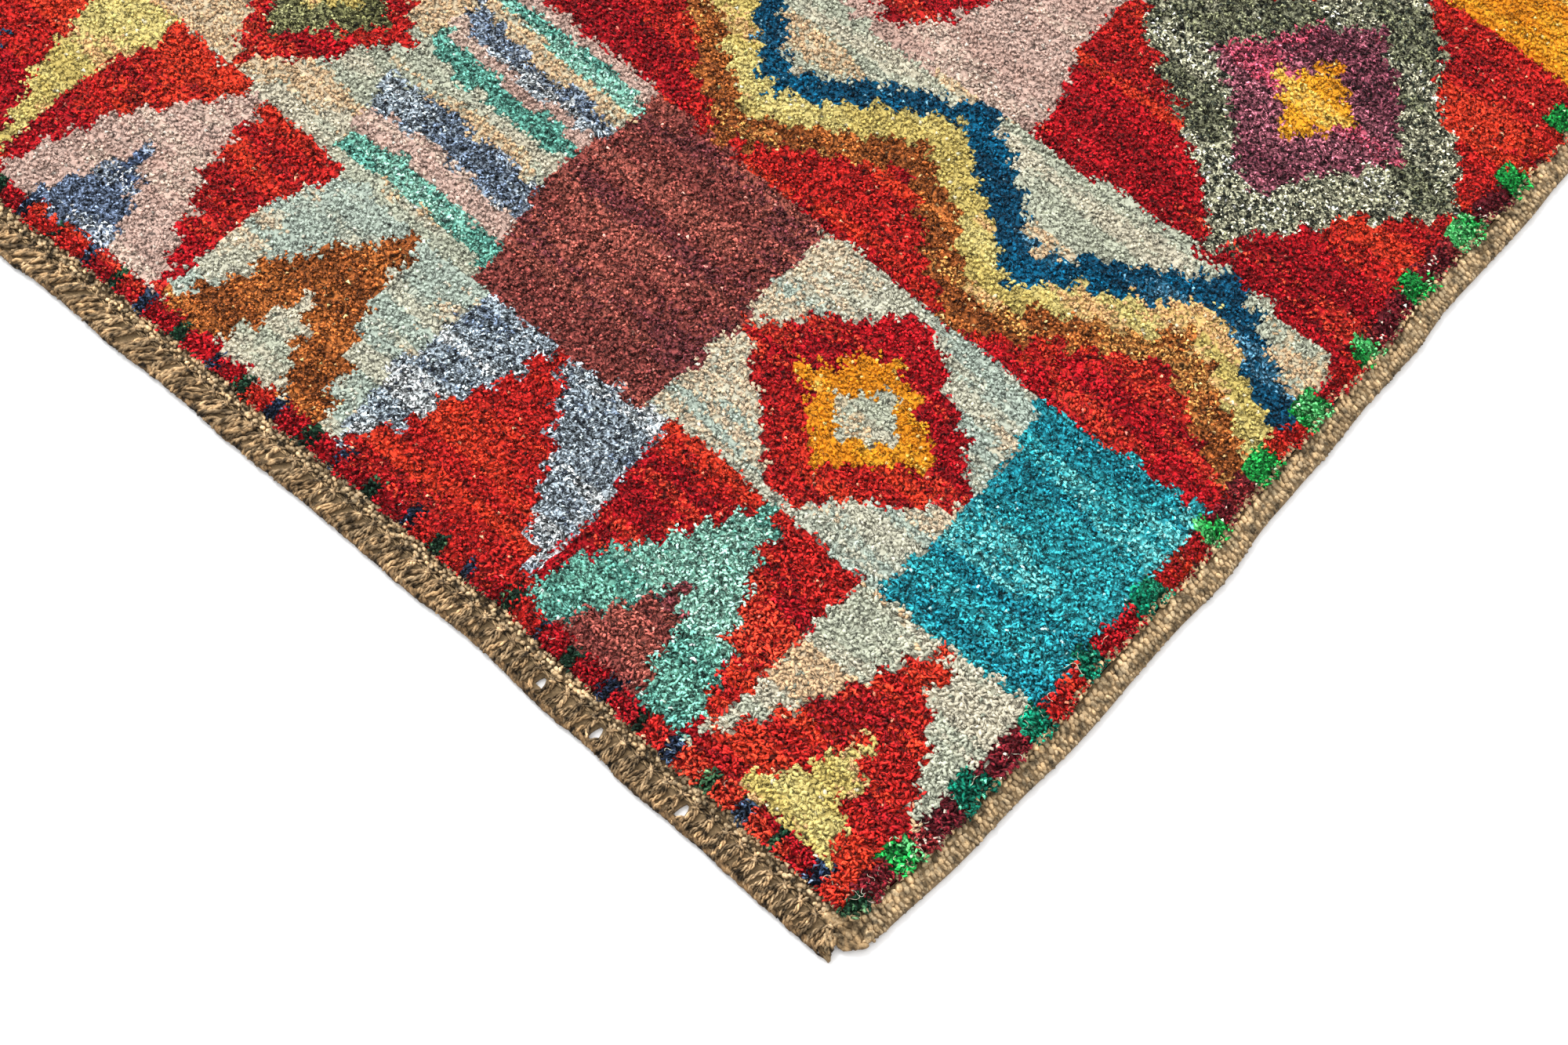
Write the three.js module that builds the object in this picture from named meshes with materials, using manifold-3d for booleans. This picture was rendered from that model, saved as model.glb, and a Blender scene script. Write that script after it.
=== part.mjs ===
// A hand-knotted wool pile rug, lying flat: pile field, two wrapped selvedges, and at each
// warp end a narrow weft band and a plaited finish in which the warps are tied and rolled.
// Millimetres, +Z up, origin on the floor under the middle of the rug.
// X runs across the rug, along the wefts. Y runs along it, with the warps.

import * as THREE from 'three';
import { mergeVertices } from 'three/addons/utils/BufferGeometryUtils.js';
import Module from 'manifold-3d';

// The whole rug
const RUG_WIDTH = 1200;
const RUG_LENGTH = 1800;
const GAP = 0.4;

// Edge finishes, measured inwards from the rug's outline
const SELVEDGE_WIDTH = 14;
const SELVEDGE_THICKNESS = 5.5;
const SELVEDGE_END_INSET = 15;
const SELVEDGE_STEP = 15;
const WEFT_BAND_DEPTH = 7;
const WEFT_BAND_THICKNESS = 4.5;
const WEFT_BAND_STEP = 15;
const PLAIT_DEPTH = 17;
const PLAIT_INSET_AT_CORNER = 8;
const TIE_PITCH = 10;

// The pile: its rim stands over the edge finishes in uneven locks
const PILE_THICKNESS = 11;
const PILE_CORNER_RADIUS = 8;
const PILE_STEP = 20;
const PILE_RIM = [
  { up: 0, out: 0, lock: 0 },
  { up: 6.2, out: 0, lock: 0 },
  { up: 6.9, out: 0.8, lock: 2.6 },
  { up: 9.2, out: 0.2, lock: 2.2 },
  { up: PILE_THICKNESS, out: -3.2, lock: 1.2 },
];

const halfWidth = RUG_WIDTH / 2;
const halfLength = RUG_LENGTH / 2;
const selvedgeInner = halfWidth - SELVEDGE_WIDTH;
const plaitInner = halfLength - PLAIT_DEPTH;
const weftBandInner = plaitInner - WEFT_BAND_DEPTH;

// Closed sections of the strips. "out" is the distance from the rug's middle line, "up" the
// height over the floor, and swellOut and swellUp say how far a point moves at each tie.
const SELVEDGE_SECTION = [
  { out: selvedgeInner + GAP, up: 0 },
  { out: halfWidth - 1.6, up: 0 },
  { out: halfWidth, up: 1.8 },
  { out: halfWidth - 0.9, up: 4.0 },
  { out: halfWidth - 4.5, up: 5.2 },
  { out: halfWidth - 9.5, up: SELVEDGE_THICKNESS },
  { out: selvedgeInner + GAP, up: 4.6 },
];

const WEFT_BAND_SECTION = [
  { out: weftBandInner + GAP, up: 0 },
  { out: plaitInner - 2 * GAP, up: 0 },
  { out: plaitInner - 2 * GAP, up: 2.8 },
  { out: plaitInner - 3.0, up: WEFT_BAND_THICKNESS },
  { out: weftBandInner + GAP, up: 4.0 },
];

const PLAIT_SECTION = [
  { out: plaitInner, up: 0, swellOut: 0, swellUp: 0 },
  { out: halfLength - 1.4, up: 0, swellOut: 0.4, swellUp: 0 },
  { out: halfLength - 0.6, up: 2.6, swellOut: 0.6, swellUp: 0.2 },
  { out: halfLength - 2.8, up: 5.2, swellOut: 0.4, swellUp: 0.6 },
  { out: halfLength - 6.2, up: 3.6, swellOut: 0, swellUp: 1.0 },
  { out: halfLength - 13.6, up: 4.0, swellOut: 0, swellUp: 1.1 },
  { out: plaitInner, up: 3.0, swellOut: 0, swellUp: 0.3 },
];

// How far the outline stands out of or inside the straight one. "along" is measured from the
// near corner at +X for the selvedges, and from the +X corner for the ends.
const SELVEDGE_WAVE_PLUS_X = [
  { along: 0, out: 0 }, { along: 25, out: 0.3 }, { along: 90, out: 4.4 }, { along: 120, out: 4.1 },
  { along: 168, out: 6 }, { along: 250, out: 3 }, { along: 285, out: 4 }, { along: 335, out: -1.3 },
  { along: 375, out: -2.6 }, { along: 430, out: -5.8 }, { along: 460, out: -6.1 },
  { along: 502, out: -10.5 }, { along: 570, out: -10.9 }, { along: 608, out: -13.5 },
  { along: 900, out: -11 }, { along: 1200, out: -12 }, { along: 1500, out: -4 },
  { along: 1700, out: 2 }, { along: 1800, out: 0 },
];
const SELVEDGE_WAVE_MINUS_X = [
  { along: 0, out: 0 }, { along: 150, out: 3 }, { along: 400, out: -4 }, { along: 700, out: -9 },
  { along: 1000, out: -12 }, { along: 1300, out: -7 }, { along: 1550, out: 1 },
  { along: 1650, out: 5.5 }, { along: 1800, out: 0 },
];
const NEAR_END_WAVE = [
  { along: 0, out: 4 }, { along: 35, out: 4 }, { along: 105, out: 2.1 }, { along: 140, out: 2.5 },
  { along: 175, out: 0.3 }, { along: 205, out: 0 }, { along: 258, out: -2.8 }, { along: 300, out: -1.3 },
  { along: 350, out: -1.5 }, { along: 425, out: 0.2 }, { along: 480, out: -0.5 }, { along: 525, out: 1.6 },
  { along: 570, out: 1 }, { along: 616, out: 3.8 }, { along: 720, out: 0.5 }, { along: 1000, out: -1.5 },
  { along: 1200, out: 2 },
];
const FAR_END_WAVE = [
  { along: 0, out: 2 }, { along: 300, out: -1 }, { along: 600, out: 1.5 }, { along: 900, out: -2 },
  { along: 1200, out: 4 },
];

// See-through gaps of the near plaited end, between two ties: "at" is their X
const PLAIT_GAPS = [
  { at: 385, wide: 4.4, deep: 4.4 },
  { at: 425, wide: 4.4, deep: 5.6 },
  { at: 485, wide: 4.6, deep: 6.0 },
];
const PLAIT_GAP_INSET = 13.2;

// Wool, as it lies
const COLOURS = {
  pile: 0x9a2a22,
  selvedge: 0xb59c74,
  weftBand: 0xb19870,
  plait: 0xa28a68,
};
const WOOL_ROUGHNESS = 0.95;

// An uneven number from 0 to 1 that is the same in every run
function uneven(index, row) {
  const value = Math.sin(index * 12.9898 + row * 78.233) * 43758.5453;
  return value - Math.floor(value);
}

// The height of a smooth line through a table's rows
function through(table, along) {
  const last = table.length - 1;
  let index = table.findIndex((row) => row.along > along) - 1;
  if (index < 0) index = along <= table[0].along ? 0 : last - 1;
  const a = table[index];
  const b = table[index + 1];
  const t = THREE.MathUtils.clamp((along - a.along) / (b.along - a.along), 0, 1);
  return THREE.MathUtils.lerp(a.out, b.out, t * t * (3 - 2 * t));
}

// The rug's own waviness: every piece goes through it, so that neighbours still fit
function wave(geometry) {
  const position = geometry.attributes.position;
  for (let i = 0; i < position.count; i += 1) {
    const x = position.getX(i);
    const y = position.getY(i);
    const side = x > 0 ? SELVEDGE_WAVE_PLUS_X : SELVEDGE_WAVE_MINUS_X;
    const end = y > 0 ? FAR_END_WAVE : NEAR_END_WAVE;
    position.setX(i, x + through(side, y + halfLength) * (x / halfWidth));
    position.setY(i, y + through(end, halfWidth - x) * (y / halfLength));
  }
  return geometry;
}

function welded(geometry) {
  const solid = geometry.clone();
  solid.deleteAttribute('normal');
  solid.deleteAttribute('uv');
  return mergeVertices(solid, 1e-4);
}

// A strip of one section, its points moved by shape(row, along), then turned to its edge
function strip(section, length, columns, turn, shape) {
  const outline = new THREE.Shape(section.map((row) => new THREE.Vector2(row.out, row.up)));
  const geometry = new THREE.ExtrudeGeometry(outline, { depth: length, steps: columns, bevelEnabled: false });
  geometry.translate(0, 0, -length / 2);
  const position = geometry.attributes.position;
  for (let i = 0; i < position.count; i += 1) {
    const out = position.getX(i);
    const up = position.getY(i);
    const along = position.getZ(i);
    const row = section.find((point) => Math.hypot(point.out - out, point.up - up) < 0.01);
    const moved = shape(row, along);
    position.setXYZ(i, moved.out, moved.up, moved.along ?? along);
  }
  geometry.rotateX(Math.PI / 2);
  geometry.rotateZ(turn);
  return wave(welded(geometry));
}

// The knotted pile with its ground: one lumpy slab
function pileField() {
  const x = selvedgeInner - GAP;
  const y = weftBandInner - GAP;
  const r = PILE_CORNER_RADIUS;
  const outline = new THREE.Shape();
  outline.moveTo(-x + r, -y);
  outline.lineTo(x - r, -y);
  outline.absarc(x - r, -y + r, r, -Math.PI / 2, 0);
  outline.lineTo(x, y - r);
  outline.absarc(x - r, y - r, r, 0, Math.PI / 2);
  outline.lineTo(-x + r, y);
  outline.absarc(-x + r, y - r, r, Math.PI / 2, Math.PI);
  outline.lineTo(-x, -y + r);
  outline.absarc(-x + r, -y + r, r, Math.PI, 1.5 * Math.PI);
  const around = Math.round(outline.getLength() / PILE_STEP);
  const points = outline.getSpacedPoints(around).slice(0, -1);
  const rings = PILE_RIM.length - 1;
  const settings = { depth: rings, steps: rings, bevelEnabled: false };
  const geometry = welded(new THREE.ExtrudeGeometry(new THREE.Shape(points), settings));
  const position = geometry.attributes.position;
  for (let i = 0; i < position.count; i += 1) {
    const px = position.getX(i);
    const py = position.getY(i);
    const ring = PILE_RIM[Math.round(position.getZ(i))];
    const place = points.findIndex((point) => Math.hypot(point.x - px, point.y - py) < 0.01);
    const cornerX = Math.sign(px) * Math.max(Math.abs(px) - (x - r), 0);
    const cornerY = Math.sign(py) * Math.max(Math.abs(py) - (y - r), 0);
    const outward = new THREE.Vector2(cornerX, cornerY).normalize();
    const reach = ring.out + ring.lock * uneven(place, 1);
    position.setXYZ(i, px + outward.x * reach, py + outward.y * reach, ring.up);
  }
  return wave(geometry);
}

// A wrapped selvedge: full and slightly uneven, its two ends drawn in
function selvedge(turn) {
  const length = RUG_LENGTH - 2 * SELVEDGE_END_INSET;
  const columns = Math.round(length / SELVEDGE_STEP);
  return strip(SELVEDGE_SECTION, length, columns, turn, (row, along) => {
    const toEnd = length / 2 - Math.abs(along);
    const drawnIn = toEnd < 1 ? 0.45 : 1;
    const centre = halfWidth - SELVEDGE_WIDTH / 2;
    const swell = 0.25 * (uneven(Math.round(along / SELVEDGE_STEP), 2) - 0.5);
    const inner = row.out < centre;
    const out = inner ? row.out : centre + (row.out - centre) * drawnIn + swell;
    return { out, up: row.up * (toEnd < 1 ? 0.8 : 1) + (row.up > 0 ? swell : 0) };
  });
}

// The flat band of a few wefts between the pile and the ties
function weftBand(turn) {
  const length = 2 * (selvedgeInner - GAP);
  const columns = Math.round(length / WEFT_BAND_STEP);
  return strip(WEFT_BAND_SECTION, length, columns, turn, (row, along) => {
    const swell = 0.3 * (uneven(Math.round(along), 3) - 0.5);
    return { out: row.out, up: row.up > WEFT_BAND_THICKNESS - 1 ? row.up + swell : row.up };
  });
}

// The warps: tied at every pitch, run out as cords and plaited into a rolled edge,
// which ends in a small point at each corner
function plait(turn) {
  const length = RUG_WIDTH - 2 * PLAIT_INSET_AT_CORNER;
  const columns = Math.round(length / (TIE_PITCH / 2));
  const tipStart = selvedgeInner - TIE_PITCH / 2;
  return strip(PLAIT_SECTION, length, columns, turn, (row, along) => {
    const phase = Math.cos((2 * Math.PI * along) / TIE_PITCH);
    const lump = 0.3 * (uneven(Math.round(along / 2), 4) - 0.5);
    const out = row.out + row.swellOut * (phase + lump);
    const up = row.up + row.swellUp * (phase + lump);
    const tip = THREE.MathUtils.clamp((Math.abs(along) - tipStart) / (length / 2 - tipStart), 0, 1);
    const narrowed = THREE.MathUtils.lerp(out, halfLength - 1.2 + (out - halfLength) * 0.12, tip);
    return { out: narrowed, up: up * (1 - 0.55 * tip) };
  });
}

const wasm = await Module();
wasm.setup();

function toManifold(geometry) {
  const vertProperties = new Float32Array(geometry.attributes.position.array);
  const triVerts = new Uint32Array(geometry.index.array);
  return new wasm.Manifold(new wasm.Mesh({ numProp: 3, vertProperties, triVerts }));
}

function fromManifold(solid) {
  const cut = solid.getMesh();
  const geometry = new THREE.BufferGeometry();
  geometry.setAttribute('position', new THREE.BufferAttribute(new Float32Array(cut.vertProperties), 3));
  geometry.setIndex(new THREE.BufferAttribute(new Uint32Array(cut.triVerts), 1));
  return geometry;
}

// A three-sided gap between two ties, its point towards the outline
function gapCutter(gap) {
  const y = -halfLength + PLAIT_GAP_INSET;
  const triangle = new THREE.Shape([
    new THREE.Vector2(gap.at - gap.wide / 2, y),
    new THREE.Vector2(gap.at - 0.3, y - gap.deep),
    new THREE.Vector2(gap.at + gap.wide / 2, y),
  ]);
  const tall = 3 * PILE_THICKNESS;
  const cutter = new THREE.ExtrudeGeometry(triangle, { depth: tall, bevelEnabled: false });
  cutter.translate(0, 0, -tall / 2);
  return toManifold(wave(welded(cutter)));
}

function plaitWithGaps(turn) {
  let solid = toManifold(plait(turn));
  for (const gap of PLAIT_GAPS) solid = solid.subtract(gapCutter(gap));
  return fromManifold(solid);
}

function piece(name, geometry, color) {
  const material = new THREE.MeshStandardMaterial({ color, roughness: WOOL_ROUGHNESS, metalness: 0 });
  const mesh = new THREE.Mesh(geometry, material);
  mesh.name = name;
  return mesh;
}

// Turns that send a strip's "out" to each edge
const TO_PLUS_X = 0;
const TO_MINUS_X = Math.PI;
const TO_NEAR_END = -Math.PI / 2;
const TO_FAR_END = Math.PI / 2;

const rug = new THREE.Group();
rug.add(piece('pile_field', pileField(), COLOURS.pile));
rug.add(piece('selvedge_plus_x', selvedge(TO_PLUS_X), COLOURS.selvedge));
rug.add(piece('selvedge_minus_x', selvedge(TO_MINUS_X), COLOURS.selvedge));
rug.add(piece('weft_band_near', weftBand(TO_NEAR_END), COLOURS.weftBand));
rug.add(piece('weft_band_far', weftBand(TO_FAR_END), COLOURS.weftBand));
rug.add(piece('plait_near', plaitWithGaps(TO_NEAR_END), COLOURS.plait));
rug.add(piece('plait_far', plait(TO_FAR_END), COLOURS.plait));

export default rug;
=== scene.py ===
import math
from collections import namedtuple
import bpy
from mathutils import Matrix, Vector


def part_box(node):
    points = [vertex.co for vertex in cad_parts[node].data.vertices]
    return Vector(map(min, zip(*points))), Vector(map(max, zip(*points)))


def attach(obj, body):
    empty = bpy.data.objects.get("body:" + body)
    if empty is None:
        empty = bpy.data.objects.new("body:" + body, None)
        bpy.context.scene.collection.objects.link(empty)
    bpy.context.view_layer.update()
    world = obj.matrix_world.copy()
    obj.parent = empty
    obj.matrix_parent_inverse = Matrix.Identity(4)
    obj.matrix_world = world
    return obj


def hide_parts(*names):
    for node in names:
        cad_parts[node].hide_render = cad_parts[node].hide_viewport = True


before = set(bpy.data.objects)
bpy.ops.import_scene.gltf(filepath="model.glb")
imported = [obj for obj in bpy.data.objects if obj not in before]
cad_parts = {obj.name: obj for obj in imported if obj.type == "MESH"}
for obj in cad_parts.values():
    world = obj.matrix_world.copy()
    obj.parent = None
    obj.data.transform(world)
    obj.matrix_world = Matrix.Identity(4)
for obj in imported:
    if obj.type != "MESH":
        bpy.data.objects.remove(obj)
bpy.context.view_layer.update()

from types import SimpleNamespace

import bmesh
import bpy
import numpy as np
from bpy.props import FloatProperty, FloatVectorProperty, IntProperty
from mathutils import Matrix, Vector

bl_info = {
    "name": "Hand-knotted pile rug",
    "version": (1, 0, 0),
    "blender": (4, 5, 0),
    "location": "3D View > Sidebar > Rug",
    "description": "Dresses a flat wool rug: pile, selvedges, weft bands and plaited warp ends",
    "category": "Add Mesh",
}

MM = 0.001
SEED = 41
# Added to SEED: one number for each run of random numbers
STREAM = SimpleNamespace(
    jags=0, seam_x=1, seam_y=2, wobble_x=3, wobble_y=4, reds=5, stripe_high=6, stripe_drift=7,
    guard=9, end_spots=10, side_spots=11, shade=20, fine_shade=21, streak=22, fine_streak=23,
    back_colours=31, bed=40, bed_colours=41, pile_ends=50, swirl=51, fine_swirl=52, rim=53,
    rim_knots=54, ends=60, end_colours=70, fibres=77, fibre_colours=78, wraps=80,
    wrap_drift=85, wrap_colours=90, corner_colours=97, beads=100, bead_colours=110, cords=120,
    cord_colours=130, cord_drift=131, tip_colours=136, knots=140, knot_colours=141, warps=150,
    warp_colours=151, tie_colours=160, rope=165, rope_colours=166, rope_strands=167,
    backing=170,
)
# Cells along a side of the grid of random numbers that uneven patches come from
PATCHES = 64
PHOTO_WIDE, PHOTO_HIGH = 2000, 1333

# Waviness of the outline, in millimetres. "along" runs from the near end for the selvedges
# and from the +X corner for the ends, and "out" is how far the outline stands out there.
Wave = namedtuple("Wave", "along out")
SELVEDGE_WAVE_PLUS_X = (
    Wave(0, 0), Wave(25, 0.3), Wave(90, 4.4), Wave(120, 4.1), Wave(168, 6), Wave(250, 3),
    Wave(285, 4), Wave(335, -1.3), Wave(375, -2.6), Wave(430, -5.8), Wave(460, -6.1),
    Wave(502, -10.5), Wave(570, -10.9), Wave(608, -13.5), Wave(900, -11), Wave(1200, -12),
    Wave(1500, -4), Wave(1700, 2), Wave(1800, 0),
)
SELVEDGE_WAVE_MINUS_X = (
    Wave(0, 0), Wave(150, 3), Wave(400, -4), Wave(700, -9), Wave(1000, -12), Wave(1300, -7),
    Wave(1550, 1), Wave(1650, 5.5), Wave(1800, 0),
)
NEAR_END_WAVE = (
    Wave(0, 4), Wave(35, 4), Wave(105, 2.1), Wave(140, 2.5), Wave(175, 0.3), Wave(205, 0),
    Wave(258, -2.8), Wave(300, -1.3), Wave(350, -1.5), Wave(425, 0.2), Wave(480, -0.5),
    Wave(525, 1.6), Wave(570, 1), Wave(616, 3.8), Wave(720, 0.5), Wave(1000, -1.5), Wave(1200, 2),
)
FAR_END_WAVE = (Wave(0, 2), Wave(300, -1), Wave(600, 1.5), Wave(900, -2), Wave(1200, 4))

# See-through gaps of the near plaited end, between two ties: "at" is their X in millimetres.
# PLAIT_GAP_INSET is how far inside the outline they start.
Gap = namedtuple("Gap", "at wide deep")
PLAIT_GAPS = (Gap(385, 4.4, 4.4), Gap(425, 4.4, 5.6), Gap(485, 4.6, 6.0))
PLAIT_GAP_INSET = 13.2

# Which selvedge and which end the photograph shows: those are made of finer nets
Edge = namedtuple("Edge", "name sign in_photo")
SIDES = (Edge("plus_x", 1, True), Edge("minus_x", -1, False))
ENDS = (Edge("near", -1, True), Edge("far", 1, False))


def wool(name, red, green, blue):
    """A colour that a user may change: the tips of one yarn."""
    return FloatVectorProperty(
        name=name,
        description=f"Colour of the {name.lower()} yarn at its cut tips",
        subtype="COLOR_GAMMA",
        size=3,
        min=0,
        max=1,
        default=(red / 255, green / 255, blue / 255),
    )


def measure(name, description, default):
    """A length that a user may change."""
    return FloatProperty(name=name, description=description, default=default, unit="LENGTH")


class RugSizes(bpy.types.PropertyGroup):
    """Sizes of the rug and its edge finishes"""

    width: measure("Width", "Across the rug, over the selvedges", 1.2)
    length: measure("Length", "Along the rug, over the plaited ends", 1.8)
    selvedge_width: measure("Selvedge width", "Width of a wrapped selvedge", 0.014)
    band_depth: measure("Weft band depth", "From the pile to the ties", 0.007)
    plait_depth: measure("Plait depth", "From the ties to the outline", 0.017)
    knot_pitch: measure("Knot pitch", "Between neighbouring knots", 0.004)
    tie_pitch: measure("Tie pitch", "Between neighbouring tied warps", 0.01)
    pile_top: measure("Pile top", "Height of the pile over the floor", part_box("pile_field")[1].z)
    guard_knots: IntProperty(
        name="Guard knots", description="Knots across the spotted guard stripe", default=3, min=1
    )


class RugYarns(bpy.types.PropertyGroup):
    """Colours of the yarns"""

    crimson: wool("Crimson", 188, 22, 32)
    orange_red: wool("Orange red", 214, 58, 34)
    dark_maroon: wool("Dark maroon", 122, 28, 38)
    straw: wool("Straw", 226, 208, 130)
    saffron: wool("Saffron", 246, 170, 40)
    ochre: wool("Ochre", 184, 106, 50)
    turquoise: wool("Turquoise", 50, 164, 174)
    aqua: wool("Aqua", 124, 190, 170)
    deep_teal: wool("Deep teal", 4, 88, 122)
    slate: wool("Slate", 112, 128, 154)
    blue_white: wool("Blue white", 228, 234, 234)
    maroon: wool("Maroon", 166, 88, 76)
    mauve: wool("Mauve", 166, 96, 110)
    pink: wool("Pink", 212, 180, 166)
    cream: wool("Cream", 214, 206, 182)
    pale_green: wool("Pale green", 208, 206, 184)
    olive: wool("Olive", 140, 140, 96)
    grey: wool("Grey", 196, 200, 178)
    heather: wool("Heather", 230, 226, 190)
    green: wool("Green", 40, 172, 78)
    teal_green: wool("Teal green", 12, 130, 98)
    navy: wool("Navy", 38, 54, 78)
    dark_green: wool("Dark green", 28, 66, 44)
    undyed: wool("Undyed", 174, 149, 114)
    undyed_dark: wool("Dark undyed", 146, 122, 90)


class RugStudio(bpy.types.PropertyGroup):
    """Camera and light"""

    lens: FloatProperty(
        name="Lens", description="Focal length on a 36 mm sensor", default=69.4, unit="CAMERA"
    )
    distance: FloatProperty(
        name="Distance", description="Camera to the rug's corner", default=1.56, unit="LENGTH"
    )
    pitch: FloatProperty(
        name="Pitch",
        description="How far the camera looks down",
        default=math.radians(61.3),
        unit="ROTATION",
    )
    turn: FloatProperty(
        name="Turn",
        description="How far the camera is turned from the rug's length",
        default=math.radians(42.2),
        unit="ROTATION",
    )
    sky: FloatProperty(name="Sky", description="Strength of the even white light", default=1.2)
    key: FloatProperty(name="Key", description="Power of the soft key light, in watts", default=700)


# How each dyed yarn varies, in sRGB steps of 0 to 255: "other" is the shade that it drifts to
# in streaks along the weft, "third" a rarer one with its share, "fleck" single yarn ends.
Shades = namedtuple("Shades", "other third third_share fleck fleck_share")
YARN_SHADES = {
    # Crimson's third shade and flecks are partly dye shades and partly painted highlights
    "crimson": Shades((158, 16, 26), (214, 62, 40), 0.24, (236, 120, 104), 0.008),
    "orange_red": Shades((190, 34, 30), (160, 22, 28), 0.2, (246, 150, 116), 0.012),
    "dark_maroon": Shades((96, 22, 32), (150, 46, 48), 0.2, (226, 200, 182), 0.04),
    "straw": Shades((212, 190, 108), (238, 188, 130), 0.2, (240, 228, 190), 0.03),
    "saffron": Shades((230, 144, 26), (246, 200, 96), 0.16, (250, 218, 140), 0.03),
    "ochre": Shades((150, 82, 38), (206, 146, 78), 0.2, (226, 184, 124), 0.03),
    "turquoise": Shades((30, 134, 150), (110, 204, 204), 0.14, (160, 226, 226), 0.02),
    "aqua": Shades((98, 164, 148), (158, 208, 188), 0.2, (200, 226, 210), 0.03),
    "deep_teal": Shades((8, 72, 102), (84, 132, 158), 0.07, (110, 160, 180), 0.02),
    "slate": Shades((84, 100, 130), (196, 206, 216), 0.28, (36, 44, 58), 0.14),
    "blue_white": Shades((172, 186, 196), (110, 126, 148), 0.2, (40, 46, 58), 0.14),
    "maroon": Shades((140, 68, 62), (118, 56, 60), 0.18, (212, 140, 126), 0.015),
    "mauve": Shades((128, 66, 80), (216, 82, 106), 0.1, (54, 26, 36), 0.16),
    "pink": Shades((202, 168, 154), (222, 196, 178), 0.2, (230, 214, 200), 0.04),
    "cream": Shades((194, 198, 176), (226, 190, 148), 0.24, (166, 170, 150), 0.03),
    "pale_green": Shades((184, 198, 184), (226, 202, 170), 0.26, (228, 224, 204), 0.05),
    "olive": Shades((112, 112, 72), (166, 164, 120), 0.2, (70, 70, 44), 0.08),
    "grey": Shades((168, 174, 156), (214, 212, 192), 0.2, (124, 128, 112), 0.06),
    "heather": Shades((196, 192, 162), (122, 124, 94), 0.25, (42, 48, 40), 0.34),
    "green": Shades((24, 142, 60), (104, 204, 122), 0.2, (180, 222, 170), 0.04),
    "teal_green": Shades((8, 104, 82), (44, 160, 120), 0.2, (96, 186, 148), 0.04),
    "navy": Shades((26, 36, 56), (62, 80, 104), 0.2, (92, 106, 128), 0.04),
    "dark_green": Shades((20, 46, 32), (52, 88, 58), 0.2, (92, 124, 86), 0.04),
}
YARN_NAMES = tuple(YARN_SHADES)

# How the cut ends of a yarn stand: half their thickness, length and curl in millimetres, how
# strongly painted shade darkens it between them, how many of them a knot has, how flat they
# lie, how uneven their tips are, and how far the bed lies under them
Loft = namedtuple("Loft", "thick long curl dark number flat uneven bed")
FULL = Loft(1.0, 4.0, 3.6, 0.3, 3.3, 0.7, 0.45, 0.4)
EVEN = Loft(0.76, 3.9, 3.4, 0.95, 3.7, 0.9, 1.1, 1.2)
FINE = Loft(0.6, 4.4, 4.4, 1.3, 4.3, 0.9, 1.2, 1.3)
LOFTS = dict.fromkeys(("straw", "saffron", "cream", "pale_green", "pink", "grey"), FULL)
LOFTS.update(dict.fromkeys(("slate", "blue_white", "heather", "mauve", "olive", "navy"), FINE))

# The field's patchwork on one half of the rug, turned round for the other half. Each band
# runs across between two distances from the near end, in millimetres. Its cells follow one
# another from the +X side: their width, figure, and yarns from the ground to the core.
Cell = namedtuple("Cell", "wide figure yarns")
Band = namedtuple("Band", "low high cells")
BANDS = (
    Band(0, 140, (
        Cell(122, "peak", ("cream", "crimson", "straw")),
        Cell(128, "peak", ("crimson", "aqua", "maroon")),
        Cell(134, "peak", ("blue_white", "orange_red")),
        Cell(122, "peak", ("pale_green", "ochre", "cream")),
        Cell(132, "peak", ("crimson", "pink", "slate")),
        Cell(126, "peak", ("straw", "crimson", "deep_teal")),
        Cell(124, "peak", ("grey", "crimson")),
        Cell(130, "peak", ("crimson", "cream", "ochre")),
        Cell(180, "peak", ("slate", "orange_red")),
    )),
    Band(140, 290, (
        Cell(112, "plain", ("turquoise",)),
        Cell(152, "lozenge", ("pale_green", "crimson", "saffron", "cream")),
        Cell(138, "plain", ("maroon",)),
        Cell(118, "stripes", ("cream", "aqua", "pink", "blue_white")),
        Cell(150, "lozenge", ("cream", "crimson", "olive", "straw")),
        Cell(116, "plain", ("slate",)),
        Cell(136, "plain", ("straw",)),
        Cell(152, "lozenge", ("crimson", "cream", "turquoise", "crimson")),
        Cell(170, "plain", ("olive",)),
    )),
    Band(290, 412, (Cell(1240, "zigzag", ("crimson", "ochre", "straw", "deep_teal", "cream")),)),
    Band(412, 636, (
        Cell(238, "lozenge", ("crimson", "heather", "mauve", "saffron")),
        Cell(226, "lozenge", ("pink", "crimson", "aqua", "cream")),
        Cell(240, "lozenge", ("crimson", "grey", "slate", "orange_red")),
        Cell(228, "lozenge", ("cream", "maroon", "straw", "crimson")),
        Cell(310, "lozenge", ("crimson", "aqua", "cream", "mauve")),
    )),
    Band(636, 762, (
        Cell(118, "plain", ("saffron",)),
        Cell(132, "plain", ("pale_green",)),
        Cell(126, "plain", ("crimson",)),
        Cell(120, "stripes", ("straw", "pale_green", "cream", "ochre")),
        Cell(134, "plain", ("turquoise",)),
        Cell(122, "plain", ("blue_white",)),
        Cell(130, "plain", ("maroon",)),
        Cell(124, "plain", ("pink",)),
        Cell(200, "plain", ("ochre",)),
    )),
    Band(762, 890, (
        Cell(146, "dip", ("crimson", "grey", "olive")),
        Cell(150, "dip", ("cream", "mauve")),
        Cell(144, "dip", ("crimson", "slate", "cream")),
        Cell(152, "dip", ("straw", "crimson")),
        Cell(146, "dip", ("crimson", "pink", "aqua")),
        Cell(150, "dip", ("pale_green", "maroon")),
        Cell(148, "dip", ("crimson", "heather", "saffron")),
        Cell(190, "dip", ("cream", "orange_red")),
    )),
)

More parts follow.
